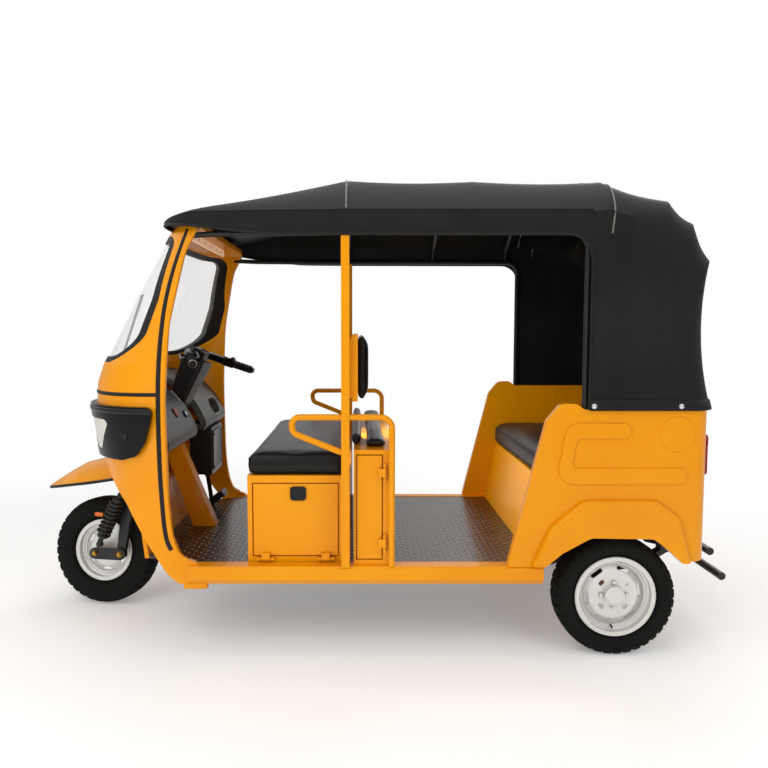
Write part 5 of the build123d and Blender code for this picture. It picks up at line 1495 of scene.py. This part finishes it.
# %% Plated bolts, amber side reflectors
LINK_OUT_Y = 118.0
LINK_BOLTS = ((1079.0, 246.6), (1168.0, 292.0), (1200.0, 246.6))
STAY = ((1112, 141, 418), (1132, 148, 426), (1156, 149, 431))
bolts, reflectors, stays = [], [], []
for side in (1, -1):
    for x, z in LINK_BOLTS:
        bolts.append(placed(nut(0, 0, 0, 10.0, 9.0), (x, side * LINK_OUT_Y, z), (0, side, 0)))
    reflectors.append(placed(plate(46, 17, 6, 8, 2, 1), (1158.0, side * 150.0, 431.0), (0.25, side, 0)))
    stays.append(tube([(x, side * y, z) for x, y, z in STAY], 6.0))
for parts, name, finish, slot in (
    (bolts, "suspension_bolts", gold_zinc, "black_metal"),
    (reflectors, "side_reflectors", lens_amber, "lamp_red"),
    (stays, "reflector_stays", black_steel, "black_metal"),
):
    steered(parts, name, finish, slot)
print("bolts", len(bolts), "reflectors", len(reflectors))

# %% [markdown]
# ## Remaining fittings
#
# Small pieces that the panels carry: the rebates that the battery and locker doors close
# against, a pad on the pedal, feet under the sills, a brow over each lamp painted a little
# lighter than the housing as a painted highlight, the courtesy lamp under the header, the
# control box's lid and its two cables, and the gaskets and coloured segments of the tail lamps.

# %% Door rebates, pedal pad and sill feet
# Each row is a door: the half width of its box, and its edges along X and up. A frame of four
# bars stands behind the door, partly seen through the gap round it.
REBATES = ((548, (102, 432, 388, 671)), (592, (-68, 26, 388, 790)))
BAR_OUT, BAR_IN = 12, 9
rebates = []
for half, (x0, x1, z0, z1) in REBATES:
    bars = (
        (x0 - BAR_OUT, x0 + BAR_IN, z0 - BAR_OUT, z1 + BAR_OUT),
        (x1 - BAR_IN, x1 + BAR_OUT, z0 - BAR_OUT, z1 + BAR_OUT),
        (x0, x1, z0 - BAR_OUT, z0 + BAR_IN),
        (x0, x1, z1 - BAR_IN, z1 + BAR_OUT),
    )
    for side in (1, -1):
        near, far = sorted((side * (half - 24), side * (half - 17)))
        rebates += [rounded_block((a, near, c), (b, far, d), 1) for a, b, c, d in bars]
settle(merged(rebates), "door_rebates", enamel, "body", "body_paint")
pad = placed(plate(58, 36, 6, 9, 3, -1.5), (712, -288, 442), (-0.77, 0, 0.63))
settle(pad, "pedal_pad", dash_plastic, "body", "dash_plastic")
feet_blocks = [rounded_block((606, y, 270), (698, y + 40, 294), 6) for y in (562, -602)]
settle(merged(feet_blocks), "sill_feet", enamel, "body", "body_paint")
print("rebate bars", len(rebates), "feet", len(feet_blocks))

# %% Lamp brows and courtesy lamp
BROW_Z, LAMP_Z = 962.0, 1650
# Each brow is a strip a shade lighter than the black housing, laid along its top: a painted highlight where the top
# edge catches the light.
brow_highlight_finish = moulded("brow_highlight_plastic", "#121315", "#1A1B1D", 1.8, 0.24, 0.04)
brows = []
for side in (1, -1):
    arc = [(x, side * y, z) for x, y, z in nose_arc(range(6, 80, 6), BROW_Z)]
    brows.append(laid_strip(dropped(smooth_line(arc), ["headlamp_pods"]), 20.0, 3.0))
settle(merged(brows), "lamp_brow_highlights", brow_highlight_finish, "body", "black_plastic")
# The cover glows faintly: painted light that brightens the cream in the shade under the header.
cream_glow = new_finish(
    "cream_lamp_cover", {
        "Base Color": linear("#E6C6A2"), "Roughness": 0.3,
        "Emission Color": linear("#E8C29C"), "Emission Strength": 0.35,
    }
)[0]
BACKWARDS = (-1, 0, 0)
cover = placed(plate(700, 30, 6, 12, 3, 1.5), (706, 30, LAMP_Z), BACKWARDS)
settle(cover, "courtesy_lamp", cream_glow, "body", "lamp_clear")
dots = [placed(plate(7, 7, 3, 3), (695, y, LAMP_Z), BACKWARDS) for y in range(-240, 360, 120)]
settle(merged(dots), "courtesy_lamp_dots", black_plastic, "body", "black_plastic")
print("brows", len(brows), "dots on the courtesy lamp", len(dots))

# %% Control box lid, cables and tail lamp segments
lid = [placed(plate(214, 196, 12, 6, 9, 2), (742, -305, 676), BACKWARDS)]
lid += [placed(plate(11, 11, 5, 4), (737, y, z), BACKWARDS) for y in (-396, -214) for z in (594, 758)]
settle(merged(lid), "control_box_lid", black_plastic, "body", "black_plastic")
CABLE = ((790, -300, 570), (786, -300, 520), (776, -306, 450), (772, -312, 400), (772, -314, 358))
cables = [tube(CABLE, 8.0), tube([(x + 14, y - 26, z) for x, y, z in CABLE], 6.0)]
settle(merged(cables), "control_cables", rubber, "body", "seal_rubber")

TAIL_FACE_X, TUB_FACE_X, TAIL_Y = -1350.0, -1318.0, 460
for size, x, z, name, finish, slot in (
    ((136, 176, 22, 6), TUB_FACE_X, 780, "tail_lamp_gaskets", rubber, "seal_rubber"),
    ((106, 42, 8, 5, 2, -1), TAIL_FACE_X, 832, "tail_lamp_amber", lens_amber, "lamp_red"),
    ((106, 34, 8, 5, 2, -1), TAIL_FACE_X, 724, "tail_lamp_white", plate_white, "plate_white"),
):
    pair = [placed(plate(*size), (x, side * TAIL_Y, z), BACKWARDS) for side in (1, -1)]
    settle(merged(pair), name, finish, "body", slot)
print("lid pieces", len(lid), "cables", len(cables), "tail lamps dressed")
